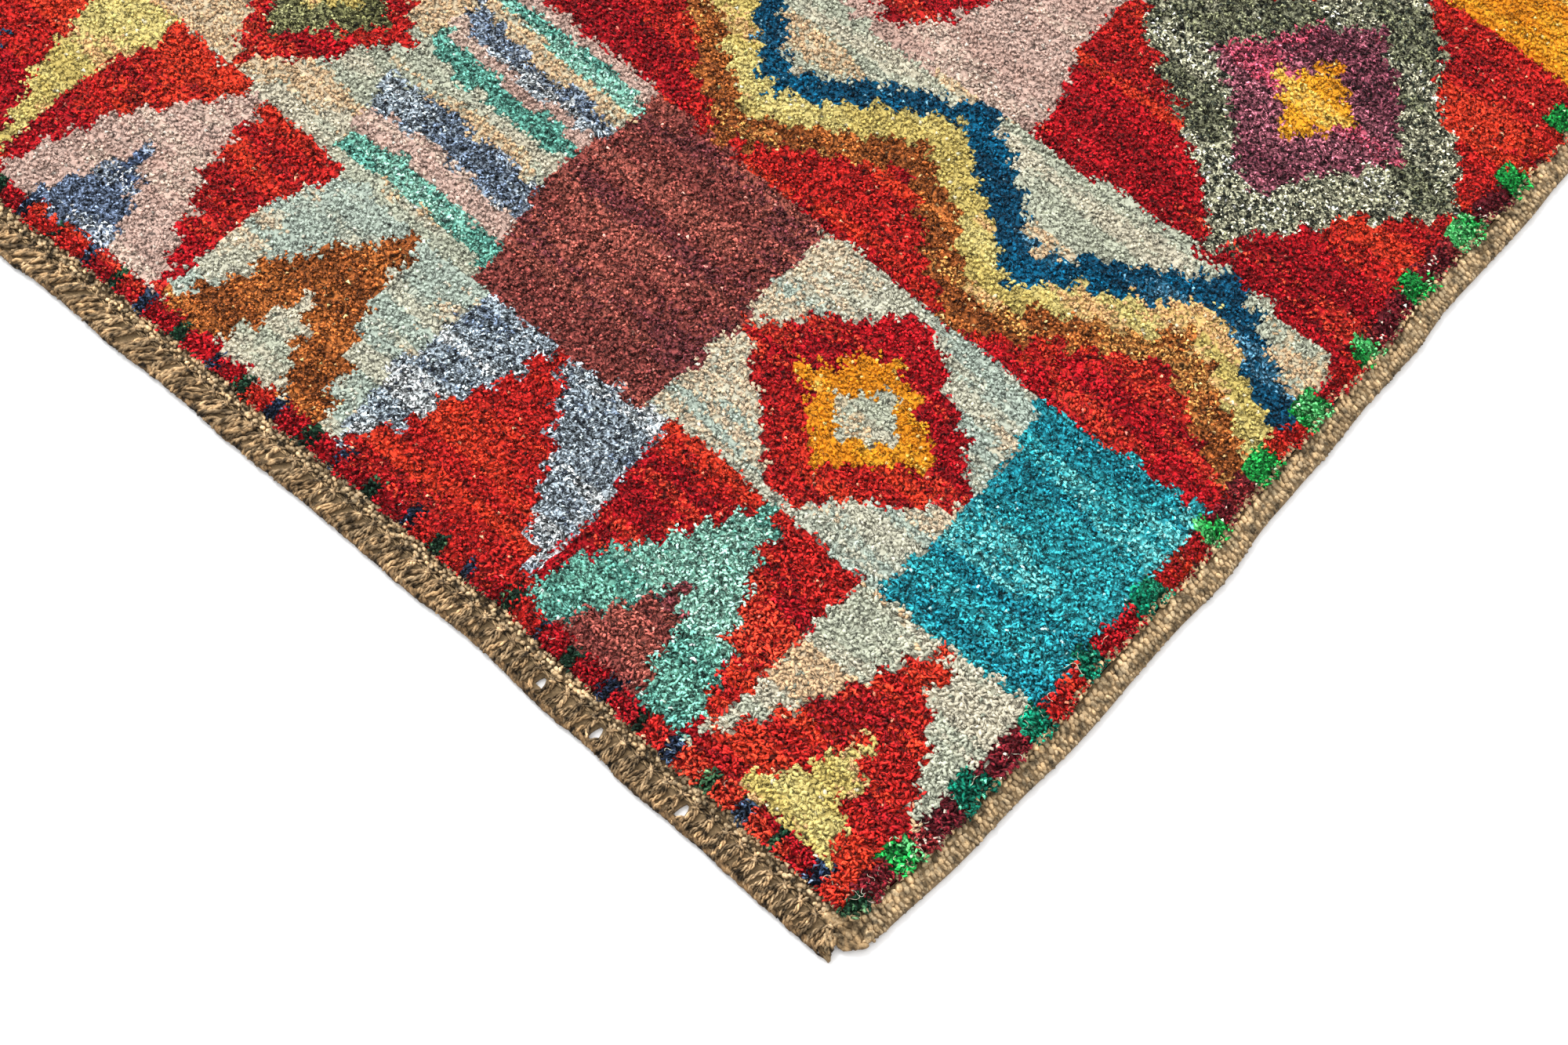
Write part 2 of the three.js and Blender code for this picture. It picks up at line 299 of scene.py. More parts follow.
# Steps of the figures' outlines in knots, and the sizes of a lozenge's nested lozenges
STEP_KNOTS = 2
NEST = (0.96, 0.6, 0.26)

# Millimetres: how high a stripe is, how much higher it may be, and how far its edge drifts
STRIPE_HIGH = 13
STRIPE_UNEVEN = 6
STRIPE_DRIFT = 14

# Half widths of a peak and of its core at its foot, and how fast they narrow, in cell widths
PEAK_FOOT = 0.52
PEAK_CORE = 0.26
PEAK_NARROWS = 0.5

# Millimetres: the length of a zigzag's turn, its depth, and the depth of each of its bands
ZIGZAG_LONG = 178
ZIGZAG_DEEP = 58
ZIGZAG_BAND = 22
ZIGZAG_BANDS = 3

# Millimetres that the patchwork's seams wander along the wefts and along the warps
SEAM_DRIFT_X = 26
SEAM_DRIFT_Y = 24
SEAM_WOBBLE = 4
# How much of a knot's width a seam jumps from row to row
JAG = 0.25
# Where the crimson drifts into orange red: above this, of numbers from 0 to 1.1
RED_DRIFT = 0.58

# Guard stripe, in millimetres: spots along the selvedges and along the ends
SIDE_SPOT_PITCH = 47.5
SIDE_SPOT_START = 40
SIDE_SPOT_LONG = 21
END_SPOT_PITCH = 24
END_SPOT_START = 4
END_SPOT_WIDE = 7
# Bright green spots among each dozen of a side
BRIGHT_SPOTS = (0, 5, 6, 7, 8, 9, 10, 11)
# How many random numbers the guard's spots take in turn
GUARD_DRAWS = 400


def draws(stream):
    """The random numbers of one stream, the same in every run."""
    return np.random.default_rng(SEED + stream)


def spread(rng, shape, wide):
    """Random numbers over a width, half of it to each side of nought."""
    return wide * (rng.random(shape) - 0.5)


def facing(turn):
    """Level directions at these angles from +X."""
    return np.stack([np.cos(turn), np.sin(turn)], axis=-1)


def lofts(yarn):
    """The lofts of yarns, given by their numbers: an array for each value."""
    rows = np.array([LOFTS.get(name, EVEN) for name in YARN_NAMES])
    return Loft(*np.moveaxis(rows[yarn], -1, 0))


def plan():
    """The rug's sizes in millimetres, from the panel's values."""
    sizes = bpy.context.scene.rug_sizes
    p = SimpleNamespace()
    p.half_wide = sizes.width / MM / 2
    p.half_long = sizes.length / MM / 2
    p.knot = sizes.knot_pitch / MM
    p.tie = sizes.tie_pitch / MM
    p.pile_x = p.half_wide - sizes.selvedge_width / MM
    p.plait_depth = sizes.plait_depth / MM
    p.band_depth = sizes.band_depth / MM
    p.plait_y = p.half_long - p.plait_depth
    p.pile_y = p.plait_y - p.band_depth
    p.pile_top = sizes.pile_top / MM
    p.columns = round(2 * p.pile_x / p.knot)
    p.rows = round(2 * p.pile_y / p.knot)
    p.guard = sizes.guard_knots * p.knot
    return p


def through(table, along):
    """The height of a smooth line through a table's rows."""
    at = np.array([row.along for row in table], float)
    out = np.array([row.out for row in table], float)
    index = np.clip(np.searchsorted(at, along, side="right") - 1, 0, len(at) - 2)
    t = np.clip((along - at[index]) / (at[index + 1] - at[index]), 0, 1)
    return out[index] + (out[index + 1] - out[index]) * t * t * (3 - 2 * t)


def waved(points, p):
    """Points of a straight rug, in millimetres, moved to where the wavy one has them."""
    x, y = points[..., 0], points[..., 1]
    side = np.where(
        x > 0,
        through(SELVEDGE_WAVE_PLUS_X, y + p.half_long),
        through(SELVEDGE_WAVE_MINUS_X, y + p.half_long),
    )
    end = np.where(
        y > 0, through(FAR_END_WAVE, p.half_wide - x), through(NEAR_END_WAVE, p.half_wide - x)
    )
    moved = points.copy()
    moved[..., 0] = x + side * (x / p.half_wide)
    moved[..., 1] = y + end * (y / p.half_long)
    return moved


def patchy(x, y, stream):
    """Smooth uneven numbers from 0 to 1 at points whose unit is one patch."""
    grid = draws(stream).random((PATCHES, PATCHES))
    column, row = np.floor(x).astype(int), np.floor(y).astype(int)
    fx, fy = x - column, y - row
    fx, fy = fx * fx * (3 - 2 * fx), fy * fy * (3 - 2 * fy)
    column, row = column % PATCHES, row % PATCHES
    right, above = (column + 1) % PATCHES, (row + 1) % PATCHES
    low = grid[row, column] * (1 - fx) + grid[row, right] * fx
    high = grid[above, column] * (1 - fx) + grid[above, right] * fx
    return low * (1 - fy) + high * fy


def wander(wide, x, y, stream):
    """Smooth uneven numbers over a width, half of it to each side of nought."""
    return wide * (patchy(x, y, stream) - 0.5)


def linear(colour):
    """sRGB numbers from 0 to 1 as linear light."""
    colour = np.asarray(colour, float)
    return np.where(colour <= 0.04045, colour / 12.92, ((colour + 0.055) / 1.055) ** 2.4)


# The pattern of the field


def figure_layers(cell, du, dv, deep, p):
    """The layer of a cell's figure at each knot: 0 its ground, 1 the outer yarn and so on."""
    step = STEP_KNOTS * p.knot
    su, sv = np.round(du / step) * step, np.round(dv / step) * step
    layer = np.zeros(du.shape, int)
    if cell.figure == "lozenge":
        far = np.abs(su) / (cell.wide / 2) + np.abs(sv) / (deep / 2)
        for index, share in enumerate(NEST):
            layer[far < share] = index + 1
    elif cell.figure in ("peak", "dip"):
        rise = dv / deep + 0.5
        rise = rise if cell.figure == "peak" else 1 - rise
        narrowed = PEAK_NARROWS * rise
        layer[np.abs(su) < cell.wide * (PEAK_FOOT - narrowed)] = 1
        layer[np.abs(su) < cell.wide * (PEAK_CORE - narrowed)] = 2
    elif cell.figure == "stripes":
        high = STRIPE_HIGH + STRIPE_UNEVEN * patchy(dv / 30, dv / 30, STREAM.stripe_high)
        drift = STRIPE_DRIFT * patchy(du / 70, dv / 40, STREAM.stripe_drift)
        layer = np.floor((dv + drift + deep / 2) / high).astype(int) % len(cell.yarns)
    elif cell.figure == "zigzag":
        turn = np.abs((du / ZIGZAG_LONG) % 1 * 2 - 1)
        band = np.floor((sv + deep / 2 - turn * ZIGZAG_DEEP) / ZIGZAG_BAND).astype(int)
        layer = np.where((band >= 0) & (band < ZIGZAG_BANDS), band + 1, 0)
        layer = np.where(band >= ZIGZAG_BANDS, len(cell.yarns) - 1, layer)
    return np.minimum(layer, len(cell.yarns) - 1)


def knot_yarns(p):
    """The yarn of every knot, as rows from the near end of columns from the +X side."""
    rng = draws(STREAM.jags)
    row, column = np.mgrid[0 : p.rows, 0 : p.columns]
    u = (column + 0.5) * p.knot
    v = (row + 0.5) * p.knot
    wide, deep = p.columns * p.knot, p.rows * p.knot
    turned = v > deep / 2
    across = np.where(turned, wide - u, u)
    along = np.where(turned, deep - v, v)
    across = across + wander(SEAM_DRIFT_X, u / 150, v / 70, STREAM.seam_x)
    along = along + wander(SEAM_DRIFT_Y, u / 110, v / 140, STREAM.seam_y)
    jag = rng.integers(-1, 2, p.rows)[:, None] * p.knot
    jag = jag * (rng.random((p.rows, p.columns)) < 0.85)
    across = across + wander(SEAM_WOBBLE, u / 90, v / 14, STREAM.wobble_x) + jag * JAG
    jag = rng.integers(-1, 2, p.columns // 2 + 1)[np.arange(p.columns) // 2][None] * p.knot
    along = along + wander(SEAM_WOBBLE, u / 14, v / 90, STREAM.wobble_y) + jag * JAG
    along = np.clip(along, BANDS[0].low, BANDS[-1].high - 0.1)
    number = {name: index for index, name in enumerate(YARN_NAMES)}
    yarn = np.full(u.shape, number["crimson"])
    for band in BANDS:
        start = 0.0
        in_band = (along >= band.low) & (along < band.high)
        for cell in band.cells:
            inside = in_band & (across < start + cell.wide) & ((across >= start) | (start == 0))
            du = across[inside] - start - cell.wide / 2
            dv = along[inside] - (band.low + band.high) / 2
            layer = figure_layers(cell, du, dv, band.high - band.low, p)
            yarn[inside] = np.array([number[name] for name in cell.yarns])[layer]
            start += cell.wide
    drift = patchy(u / 230, v / 44, STREAM.reds) + 0.1 * rng.random(u.shape)
    yarn[(yarn == number["crimson"]) & (drift > RED_DRIFT)] = number["orange_red"]
    return guard_yarns(yarn, u, v, p, number)


def guard_yarns(yarn, u, v, p, number):
    """The spotted guard stripe, laid over the outermost knots."""
    rng = draws(STREAM.guard)
    from_end = np.minimum(v, p.rows * p.knot - v)
    from_side = np.minimum(u, p.columns * p.knot - u)
    reds = np.array([number[name] for name in ("crimson", "orange_red", "dark_maroon")])
    wobble = spread(rng, u.shape, p.knot * 0.9)
    # Sides: long stretches of red with a wide green spot between two of them
    spot = (v - SIDE_SPOT_START) / SIDE_SPOT_PITCH
    spot = spot + wander(0.12, v / 40, u / 900, STREAM.side_spots)
    index = np.round(spot).astype(int)
    drawn = rng.choice((0, 1, 2, 2), GUARD_DRAWS)
    stretch = reds[drawn][np.floor(spot).astype(int) % GUARD_DRAWS]
    bright = np.isin(index % 12, BRIGHT_SPOTS)
    green = np.where(bright, number["green"], number["teal_green"])
    long = SIDE_SPOT_LONG * (0.7 + 0.5 * rng.random(GUARD_DRAWS)[index % GUARD_DRAWS])
    long = long - 0.8 * np.abs(from_side - p.knot)
    is_spot = np.abs(spot - index) * SIDE_SPOT_PITCH < long / 2
    yarn = np.where(from_side + wobble < p.guard, stretch, yarn)
    # The spots reach one knot further in than the stripe
    yarn = np.where(is_spot & (from_side + wobble < p.guard + p.knot), green, yarn)
    # Ends: shorter blocks with a narrow dark spot between two of them, over the corners
    spot = (u - END_SPOT_START) / END_SPOT_PITCH + wander(0.2, u / 22, v / 900, STREAM.end_spots)
    index = np.round(spot).astype(int)
    drawn = rng.choice((0, 0, 1), GUARD_DRAWS)
    block = reds[drawn][np.floor(spot).astype(int) % GUARD_DRAWS]
    dark = np.where(index % 2 == 0, number["dark_green"], number["navy"])
    reach = END_SPOT_WIDE * (0.34 + 0.24 * rng.random(GUARD_DRAWS)[index % GUARD_DRAWS])
    is_spot = np.abs(spot - index) * END_SPOT_PITCH < reach
    return np.where(from_end + wobble < p.guard, np.where(is_spot, dark, block), yarn)


def yarn_colours(yarn, u, v, stream, calm=0.0):
    """Linear colours of yarn ends at these places: drifting shades, rarer ones and flecks.

    calm is how far the rarer ones and the flecks are mixed in, from 0 to 1, for wider faces."""
    rng = draws(stream)
    yarns = bpy.context.scene.rug_yarns
    tips = np.array([tuple(getattr(yarns, name)) for name in YARN_NAMES])
    shades = Shades(*(np.array(column) for column in zip(*YARN_SHADES.values())))
    other, third, fleck = shades.other / 255, shades.third / 255, shades.fleck / 255
    fleck_share = shades.fleck_share[yarn]
    drift = 0.6 * patchy(u / 120, v / 15, STREAM.shade)
    drift = drift + 0.4 * patchy(u / 40, v / 5, STREAM.fine_shade)
    drift = np.clip((drift - 0.42) / 0.14 + spread(rng, yarn.shape, 0.5), 0, 1)
    colour = tips[yarn] + (other - tips)[yarn] * drift[..., None]
    streak = 0.62 * patchy(u / 90, v / 17, STREAM.streak)
    streak = streak + 0.26 * patchy(u / 26, v / 4.5, STREAM.fine_streak)
    streak = streak + 0.12 * rng.random(yarn.shape)
    rarer = (streak > 0.74 - 0.6 * shades.third_share[yarn])[..., None] * (1 - 0.5 * calm)
    colour = colour + (third[yarn] - colour) * rarer
    chance = (1 - calm) * (rng.random(yarn.shape) < fleck_share) + 0.8 * calm * fleck_share
    colour = colour + (fleck[yarn] - colour) * chance[..., None]
    value = 1 + 0.2 * (1 - 0.4 * calm) * (rng.random(yarn.shape) - 0.55)
    colour = linear(np.clip(colour * value[..., None], 0, 1))
    return np.concatenate([colour, lofts(yarn).dark[..., None]], axis=-1)


# Meshes of threads: the free margin of a thread's square of the map, the painted light on its top
# and the painted shade underneath, the least painted light, and its powers for red, green and blue
MAP_MARGIN = 0.08
PAINTED_TOP_LIGHT = 1.1
PAINTED_UNDER_SHADE = 0.55
PAINTED_LIGHT_LEAST = 0.08
PAINTED_SHADE_WARMTH = (0.9, 1.0, 1.12)


def linked(name, mesh):
    """An object of the mesh, riding on the rug."""
    piece = bpy.data.objects.new(name, mesh)
    bpy.context.collection.objects.link(piece)
    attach(piece, "root")
    return piece


def piece_from(name, arrays, material):
    """A piece from arrays: points in millimetres, triangles, colours per point, a map."""
    points, triangles = arrays.points, arrays.triangles
    mesh = bpy.data.meshes.new(name)
    mesh.vertices.add(len(points))
    mesh.vertices.foreach_set("co", (points * MM).astype(np.float32).ravel())
    mesh.loops.add(triangles.size)
    mesh.loops.foreach_set("vertex_index", triangles.astype(np.int32).ravel())
    mesh.polygons.add(len(triangles))
    mesh.polygons.foreach_set("loop_start", np.arange(0, triangles.size, 3, dtype=np.int32))
    mesh.polygons.foreach_set("loop_total", np.full(len(triangles), 3, np.int32))
    mesh.update(calc_edges=True)
    mesh.validate()
    mesh.polygons.foreach_set("use_smooth", np.full(len(triangles), True))
    layer = mesh.color_attributes.new(name="yarn", type="FLOAT_COLOR", domain="POINT")
    layer.data.foreach_set("color", arrays.colours.astype(np.float32).ravel())
    uv = arrays.uv.astype(np.float32)
    mesh.uv_layers.new(name="OFBake").uv.foreach_set("vector", uv.ravel())
    mesh.materials.append(material)
    return linked(name, mesh)


def ball_net(sides, rings):
    """A ball's net: each point's ring and angle, its triangles and their places on a map."""
    bm = bmesh.new()
    layer = bm.loops.layers.uv.new("OFBake")
    bmesh.ops.create_uvsphere(bm, u_segments=sides, v_segments=rings, radius=1, calc_uvs=True)
    bmesh.ops.triangulate(bm, faces=bm.faces)
    points = np.array([vert.co for vert in bm.verts])
    net = SimpleNamespace()
    net.rings = rings + 1
    net.ring = np.round(np.arccos(np.clip(points[:, 2], -1, 1)) / math.pi * rings).astype(int)
    # Turned so that a flat side is on top
    net.angle = np.arctan2(points[:, 1], points[:, 0]) + math.pi / sides
    net.pole = np.hypot(points[:, 0], points[:, 1]) < 1e-4
    # How far each point is round to the underside, where painted shade darkens it
    net.under = np.where(net.pole, 0.5, 0.5 - 0.5 * np.sin(net.angle))
    net.triangles = np.array([[vert.index for vert in face.verts] for face in bm.faces])
    net.uv = np.array([[tuple(loop[layer].uv) for loop in face.loops] for face in bm.faces])
    bm.free()
    return net


def across_and_above(paths):
    """Unit directions to the side of each path and above it."""
    tangent = np.gradient(paths, axis=1)
    tangent /= np.maximum(np.linalg.norm(tangent, axis=2, keepdims=True), 1e-9)
    side = np.cross(tangent, np.array([0.0, 0.0, 1.0]))
    length = np.linalg.norm(side, axis=2, keepdims=True)
    side = np.where(length > 0.05, side / np.maximum(length, 1e-9), np.array([1.0, 0.0, 0.0]))
    return side, np.cross(side, tangent)


def threads(net, paths, wide, tall=None):
    """Closed threads: the net drawn along each path, as wide and tall as said at each ring."""
    tall = wide if tall is None else tall
    side, above = across_and_above(paths)
    reach = np.where(net.pole, 0.0, 1.0)
    across = (wide[:, net.ring] * reach * np.cos(net.angle))[..., None] * side[:, net.ring]
    over = (tall[:, net.ring] * reach * np.sin(net.angle))[..., None] * above[:, net.ring]
    return paths[:, net.ring] + across + over


def plied(paths, radius, turns, start, plies):
    """The paths of the plies that are twisted round each path."""
    side, above = across_and_above(paths)
    strands = []
    for ply in range(plies):
        turned = turns * np.linspace(0, 1, paths.shape[1]) + ply / plies
        angle = (start[:, None] + 2 * math.pi * turned)[..., None]
        strands.append(paths + radius * (np.cos(angle) * side + np.sin(angle) * above))
    return np.concatenate(strands)


def grains(net, centres, direction, long, wide, tall):
    """Egg shapes: centres (n, 3) with their long half along a flat direction (n, 2)."""
    turn = np.linspace(0, math.pi, net.rings)
    along = -np.cos(turn)[None, :, None] * long[:, None, None]
    heading = np.concatenate([direction, np.zeros((len(direction), 1))], axis=1)
    paths = centres[:, None] + heading[:, None] * along
    round_off = np.sin(turn)[None]
    return threads(net, paths, wide[:, None] * round_off, tall[:, None] * round_off)


def joined(p, net, points, colours, shade=None):
    """Many threads of one net as the arrays of one mesh, each with a square of the map.

    The points of a straight rug go to their places on the wavy one. shade is painted light and
    shade from ring to ring. The fourth number of a colour says how strongly painted shade darkens
    the yarn underneath, where it lies on its neighbours."""
    count, each = points.shape[:2]
    triangles = (net.triangles[None] + each * np.arange(count)[:, None, None]).reshape(-1, 3)
    side = math.ceil(math.sqrt(count))
    cell = np.stack([np.arange(count) % side, np.arange(count) // side], axis=1)
    uv = (cell[:, None, None] + MAP_MARGIN + (1 - 2 * MAP_MARGIN) * net.uv[None]) / side
    shade = np.ones(net.rings) if shade is None else np.asarray(shade)
    # Painted shade: darker underneath and from ring to ring, painted light on top
    light = shade[net.ring] * (PAINTED_TOP_LIGHT - PAINTED_UNDER_SHADE * net.under)
    light = np.maximum(1 - colours[:, 3:] * (1 - light[None]), PAINTED_LIGHT_LEAST)
    colours = np.repeat(colours[:, None], each, axis=1)
    # Painted shade is warmer the darker it gets
    colours[..., :3] *= light[..., None] ** PAINTED_SHADE_WARMTH
    return SimpleNamespace(
        points=waved(points, p).reshape(-1, 3),
        triangles=triangles,
        uv=uv.reshape(-1, 2),
        colours=colours.reshape(-1, 4),
    )


def merged(parts):
    """Several sets of arrays as one, their maps in strips over one another."""
    start = np.cumsum([0] + [len(part.points) for part in parts[:-1]])
    faces = np.array([len(part.triangles) for part in parts], float)
    high = faces / faces.sum()
    low = np.concatenate([[0], np.cumsum(high)[:-1]])
    return SimpleNamespace(
        points=np.concatenate([part.points for part in parts]),
        triangles=np.concatenate([part.triangles + s for part, s in zip(parts, start)]),
        colours=np.concatenate([part.colours for part in parts]),
        uv=np.concatenate([part.uv * (1, h) + (0, l) for part, h, l in zip(parts, high, low)]),
    )


def grain_net(edge):
    """The net of an edge's wraps, beads and knots, finer where the photograph shows them."""
    return ball_net(6, 3) if edge.in_photo else ball_net(4, 2)


# Undyed yarn: which one, how uneven it is from thread to thread, how strongly painted shade
# darkens it underneath, how light it is, and its random numbers
Undyed = namedtuple("Undyed", "yarn spread dark tone stream")
WRAP_WOOL = Undyed("undyed", 0.13, 1.9, 1, STREAM.wrap_colours)
CORNER_WOOL = Undyed("undyed_dark", 0.1, 1.8, 1, STREAM.corner_colours)
BEAD_WOOL = Undyed("undyed", 0.18, 2.5, 1, STREAM.bead_colours)
FIBRE_WOOL = Undyed("cream", 0.12, 0.3, 1, STREAM.fibre_colours)
CORD_WOOL = Undyed("undyed", 0.18, 2.3, (0.67, 0.62, 0.58), STREAM.cord_colours)
TIP_WOOL = Undyed("undyed_dark", 0.14, 2.2, 1, STREAM.tip_colours)
KNOT_WOOL = Undyed("undyed", 0.24, 2.4, (0.72, 0.68, 0.66), STREAM.knot_colours)
WARP_WOOL = Undyed("undyed", 0.28, 2.3, (0.78, 0.74, 0.72), STREAM.warp_colours)
TIE_WOOL = Undyed("undyed_dark", 0.02, 2.4, 0.85, STREAM.tie_colours)
ROPE_WOOL = Undyed("undyed_dark", 0.1, 2.6, (0.47, 0.42, 0.38), STREAM.rope_colours)


def uneven_wool(count, look):
    """Linear colours of undyed yarn, a little lighter or darker from thread to thread."""
    rng = draws(look.stream)
    base = np.array(tuple(getattr(bpy.context.scene.rug_yarns, look.yarn)))
    value = 1 + look.spread * (rng.random((count, 1)) * 2 - 1)
    warmth = 1 + 0.02 * (rng.random((count, 1)) * 2 - 1) * np.array([[1, 0, -1.4]])
    colour = linear(np.clip(base * value * warmth, 0, 1)) * look.tone
    return np.concatenate([colour, np.full((count, 1), look.dark)], axis=1)


# Materials


SHEEN_ROUGHNESS = 0.5
SPECULAR = 0.12

# How a yarn's fibres look: repeats per metre, the range of their light, roughness, height of
# their bump in metres, and whether they wind as those of the cut pile do
Fibres = namedtuple("Fibres", "scale low high roughness depth curled")
SMOOTH_FIBRES = Fibres(1100, 0.86, 1.12, 0.8, 0.0005, False)
BACK_FIBRES = Fibres(260, 0.7, 1.1, 0.9, 0.0008, False)
BED_FIBRES = Fibres(700, 0.6, 1.5, 0.85, 0.0007, True)
END_FIBRES = Fibres(900, 0.5, 1.6, 0.75, 0.0005, True)
# Wider places of uneven tone and painted valley shade: repeats per metre, range of their light
PATCH_SCALE = 240
PATCH_LIGHT = (0.6, 1.3)
# The winding strands: repeats of their noise per metre, how often it turns them over, the
# painted shade in the slits between them, and their painted light, with painted highlights
CURL_SCALE = 210
CURL_TURNS = 26
SLIT_PAINTED_SHADE = 0.2
STRAND_PAINTED_LIGHT = 0.95
# The least painted light of a strand, and of any value that painted shade deepens
STRAND_PAINTED_LEAST = 0.15
VALLEY_PAINTED_LEAST = 0.06


def new_material(name, roughness, sheen):
    """A matt wool shader, its node tree and its principled node."""
    material = bpy.data.materials.new(name)
    material.use_nodes = True
    tree = material.node_tree
    shader = tree.nodes["Principled BSDF"]
    shader.inputs["Roughness"].default_value = roughness
    shader.inputs["Sheen Weight"].default_value = sheen
    shader.inputs["Sheen Roughness"].default_value = SHEEN_ROUGHNESS
    shader.inputs["Specular IOR Level"].default_value = SPECULAR
    return material, tree, shader


def noise_at(tree, scale, detail=2.0, distortion=0.0):
    """A noise texture on Object coordinates, with scale in repeats per metre."""
    place = tree.nodes.new("ShaderNodeTexCoord")
    noise = tree.nodes.new("ShaderNodeTexNoise")
    noise.inputs["Scale"].default_value = scale
    noise.inputs["Detail"].default_value = detail
    noise.inputs["Distortion"].default_value = distortion
    tree.links.new(place.outputs["Object"], noise.inputs["Vector"])
    return noise.outputs["Fac"]


def ranged(tree, source, low, high, to_low, to_high):
    """A value moved from one range to another."""
    node = tree.nodes.new("ShaderNodeMapRange")
    node.inputs["From Min"].default_value = low
    node.inputs["From Max"].default_value = high
    node.inputs["To Min"].default_value = to_low
    node.inputs["To Max"].default_value = to_high
    tree.links.new(source, node.inputs["Value"])
    return node.outputs["Result"]


def times(tree, colour, value):
    """A colour made lighter or darker by a value."""
    node = tree.nodes.new("ShaderNodeVectorMath")
    node.operation = "SCALE"
    tree.links.new(colour, node.inputs[0])
    tree.links.new(value, node.inputs["Scale"])
    return node.outputs["Vector"]


def bumped(tree, shader, height, distance, strength):
    """A bump of so many metres on a shader."""
    node = tree.nodes.new("ShaderNodeBump")
    node.inputs["Strength"].default_value = strength
    node.inputs["Distance"].default_value = distance
    tree.links.new(height, node.inputs["Height"])
    tree.links.new(node.outputs["Normal"], shader.inputs["Normal"])


def yarn_attribute(tree):
    """The colour that the mesh holds for each yarn end, and the strength of its painted shade."""
    node = tree.nodes.new("ShaderNodeAttribute")
    node.attribute_name = "yarn"
    return node.outputs["Color"], node.outputs["Alpha"]


def maths(tree, operation, *inputs):
    """A Math node whose inputs are links or plain numbers."""
    node = tree.nodes.new("ShaderNodeMath")
    node.operation = operation
    for socket, value in zip(node.inputs, inputs):
        if isinstance(value, (int, float)):
            socket.default_value = value
        else:
            tree.links.new(value, socket)
    return node.outputs["Value"]


def deepened(tree, value, dark):
    """A value near 1 whose distance from 1 grows with the strength of the yarn's painted shade."""
    more = maths(tree, "MULTIPLY_ADD", maths(tree, "SUBTRACT", value, 1), dark, 1)
    return maths(tree, "MAXIMUM", more, VALLEY_PAINTED_LEAST)


def curls(tree, dark):
    """Winding strands side by side, painted shade in the thin slits and painted highlights along
    them: their light, which differs more with stronger painted shade, and how high they stand."""
    noise = noise_at(tree, CURL_SCALE, 1, 0.6)
    wave = maths(tree, "SINE", maths(tree, "MULTIPLY", noise, CURL_TURNS))
    slit = ranged(tree, wave, -1, -0.55, SLIT_PAINTED_SHADE, 1.0)
    gain = maths(tree, "MULTIPLY", maths(tree, "SUBTRACT", dark, 0.3), 0.55)
    light = maths(tree, "MULTIPLY_ADD", wave, gain, STRAND_PAINTED_LIGHT)
    return maths(tree, "MULTIPLY", slit, maths(tree, "MAXIMUM", light, STRAND_PAINTED_LEAST)), wave


def yarn_material(name, fibres):
    """Wool whose colour the mesh holds, its fibres and patches partly painted light and shade."""
    material, tree, shader = new_material(name, fibres.roughness, 0.03)
    colour, dark = yarn_attribute(tree)
    height = noise = noise_at(tree, fibres.scale)
    value = deepened(tree, ranged(tree, noise, 0.3, 0.7, fibres.low, fibres.high), dark)
    patches = ranged(tree, noise_at(tree, PATCH_SCALE), 0.35, 0.65, *PATCH_LIGHT)
    value = maths(tree, "MULTIPLY", value, deepened(tree, patches, dark))
    if fibres.curled:
        light, rise = curls(tree, dark)
        value = maths(tree, "MULTIPLY", value, light)
        height = maths(tree, "MULTIPLY_ADD", rise, 0.3, noise)
    tree.links.new(times(tree, colour, value), shader.inputs["Base Color"])
    bumped(tree, shader, height, fibres.depth, 0.7)
    return material


def cloth_material(name, colour, scale, low, high):
    """Plain wool of one colour, for the cores that the threads lie on."""
    material, tree, shader = new_material(name, 0.9, 0.02)
    weave = noise_at(tree, scale)
    flat = tree.nodes.new("ShaderNodeRGB")
    flat.outputs["Color"].default_value = (*linear(tuple(colour)), 1)
    value = ranged(tree, weave, 0.3, 0.7, low, high)
    tree.links.new(times(tree, flat.outputs["Color"], value), shader.inputs["Base Color"])
    bumped(tree, shader, weave, 0.0006, 0.8)
    return material


def dress_core(name, material):
    """Gives a solid a darkened wool: painted shade that shows between its threads."""
    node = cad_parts[name]
    node.data.materials.clear()
    node.data.materials.append(material)


# How far past the frame's edge the pile keeps all its cut ends and then loses them, as shares
# of the frame's width
VIEW_MARGIN = 0.01
VIEW_FADE = 0.05


def seen_share(points, fade=VIEW_FADE):
    """1 where the camera sees a place, in millimetres, falling to 0 past the frame's edge."""
    camera = bpy.context.scene.camera
    if camera is None:
        raise RuntimeError("Run Stage first: the pile is finer where its camera looks")
    world = np.array(camera.matrix_world.inverted())
    local = (points * MM) @ world[:3, :3].T + world[:3, 3]
    scale = camera.data.lens / camera.data.sensor_width
    across = scale * local[..., 0] / -local[..., 2]
    up = scale * local[..., 1] / -local[..., 2]
    outside = np.maximum(np.abs(across) - 0.5, np.abs(up) - 0.5 * PHOTO_HIGH / PHOTO_WIDE)
    return np.clip(1 - (outside - VIEW_MARGIN) / fade, 0, 1)


# The stage, in metres: the floor's half size; the rug's photographed corner and where it is in
# the camera's view, as shares of the distance; the key light's size, its aim, and where it is
# from there, seen from the camera's side and from the rug's, as shares of its distance
FLOOR_HALF = 30
PHOTO_CORNER = Vector((0.5935, -0.9, 0))
CORNER_IN_VIEW = Vector((0.016, -0.1542, 0))
SENSOR_WIDTH = 36
KEY_SIZE = 4
KEY_AIM = Vector((0.25, -0.5, 0))
KEY_FAR = 2.5
KEY_BEHIND = Vector((-1.3, 2.0, 0))
KEY_ABOVE = Vector((-0.05, 0.1, 2.4))


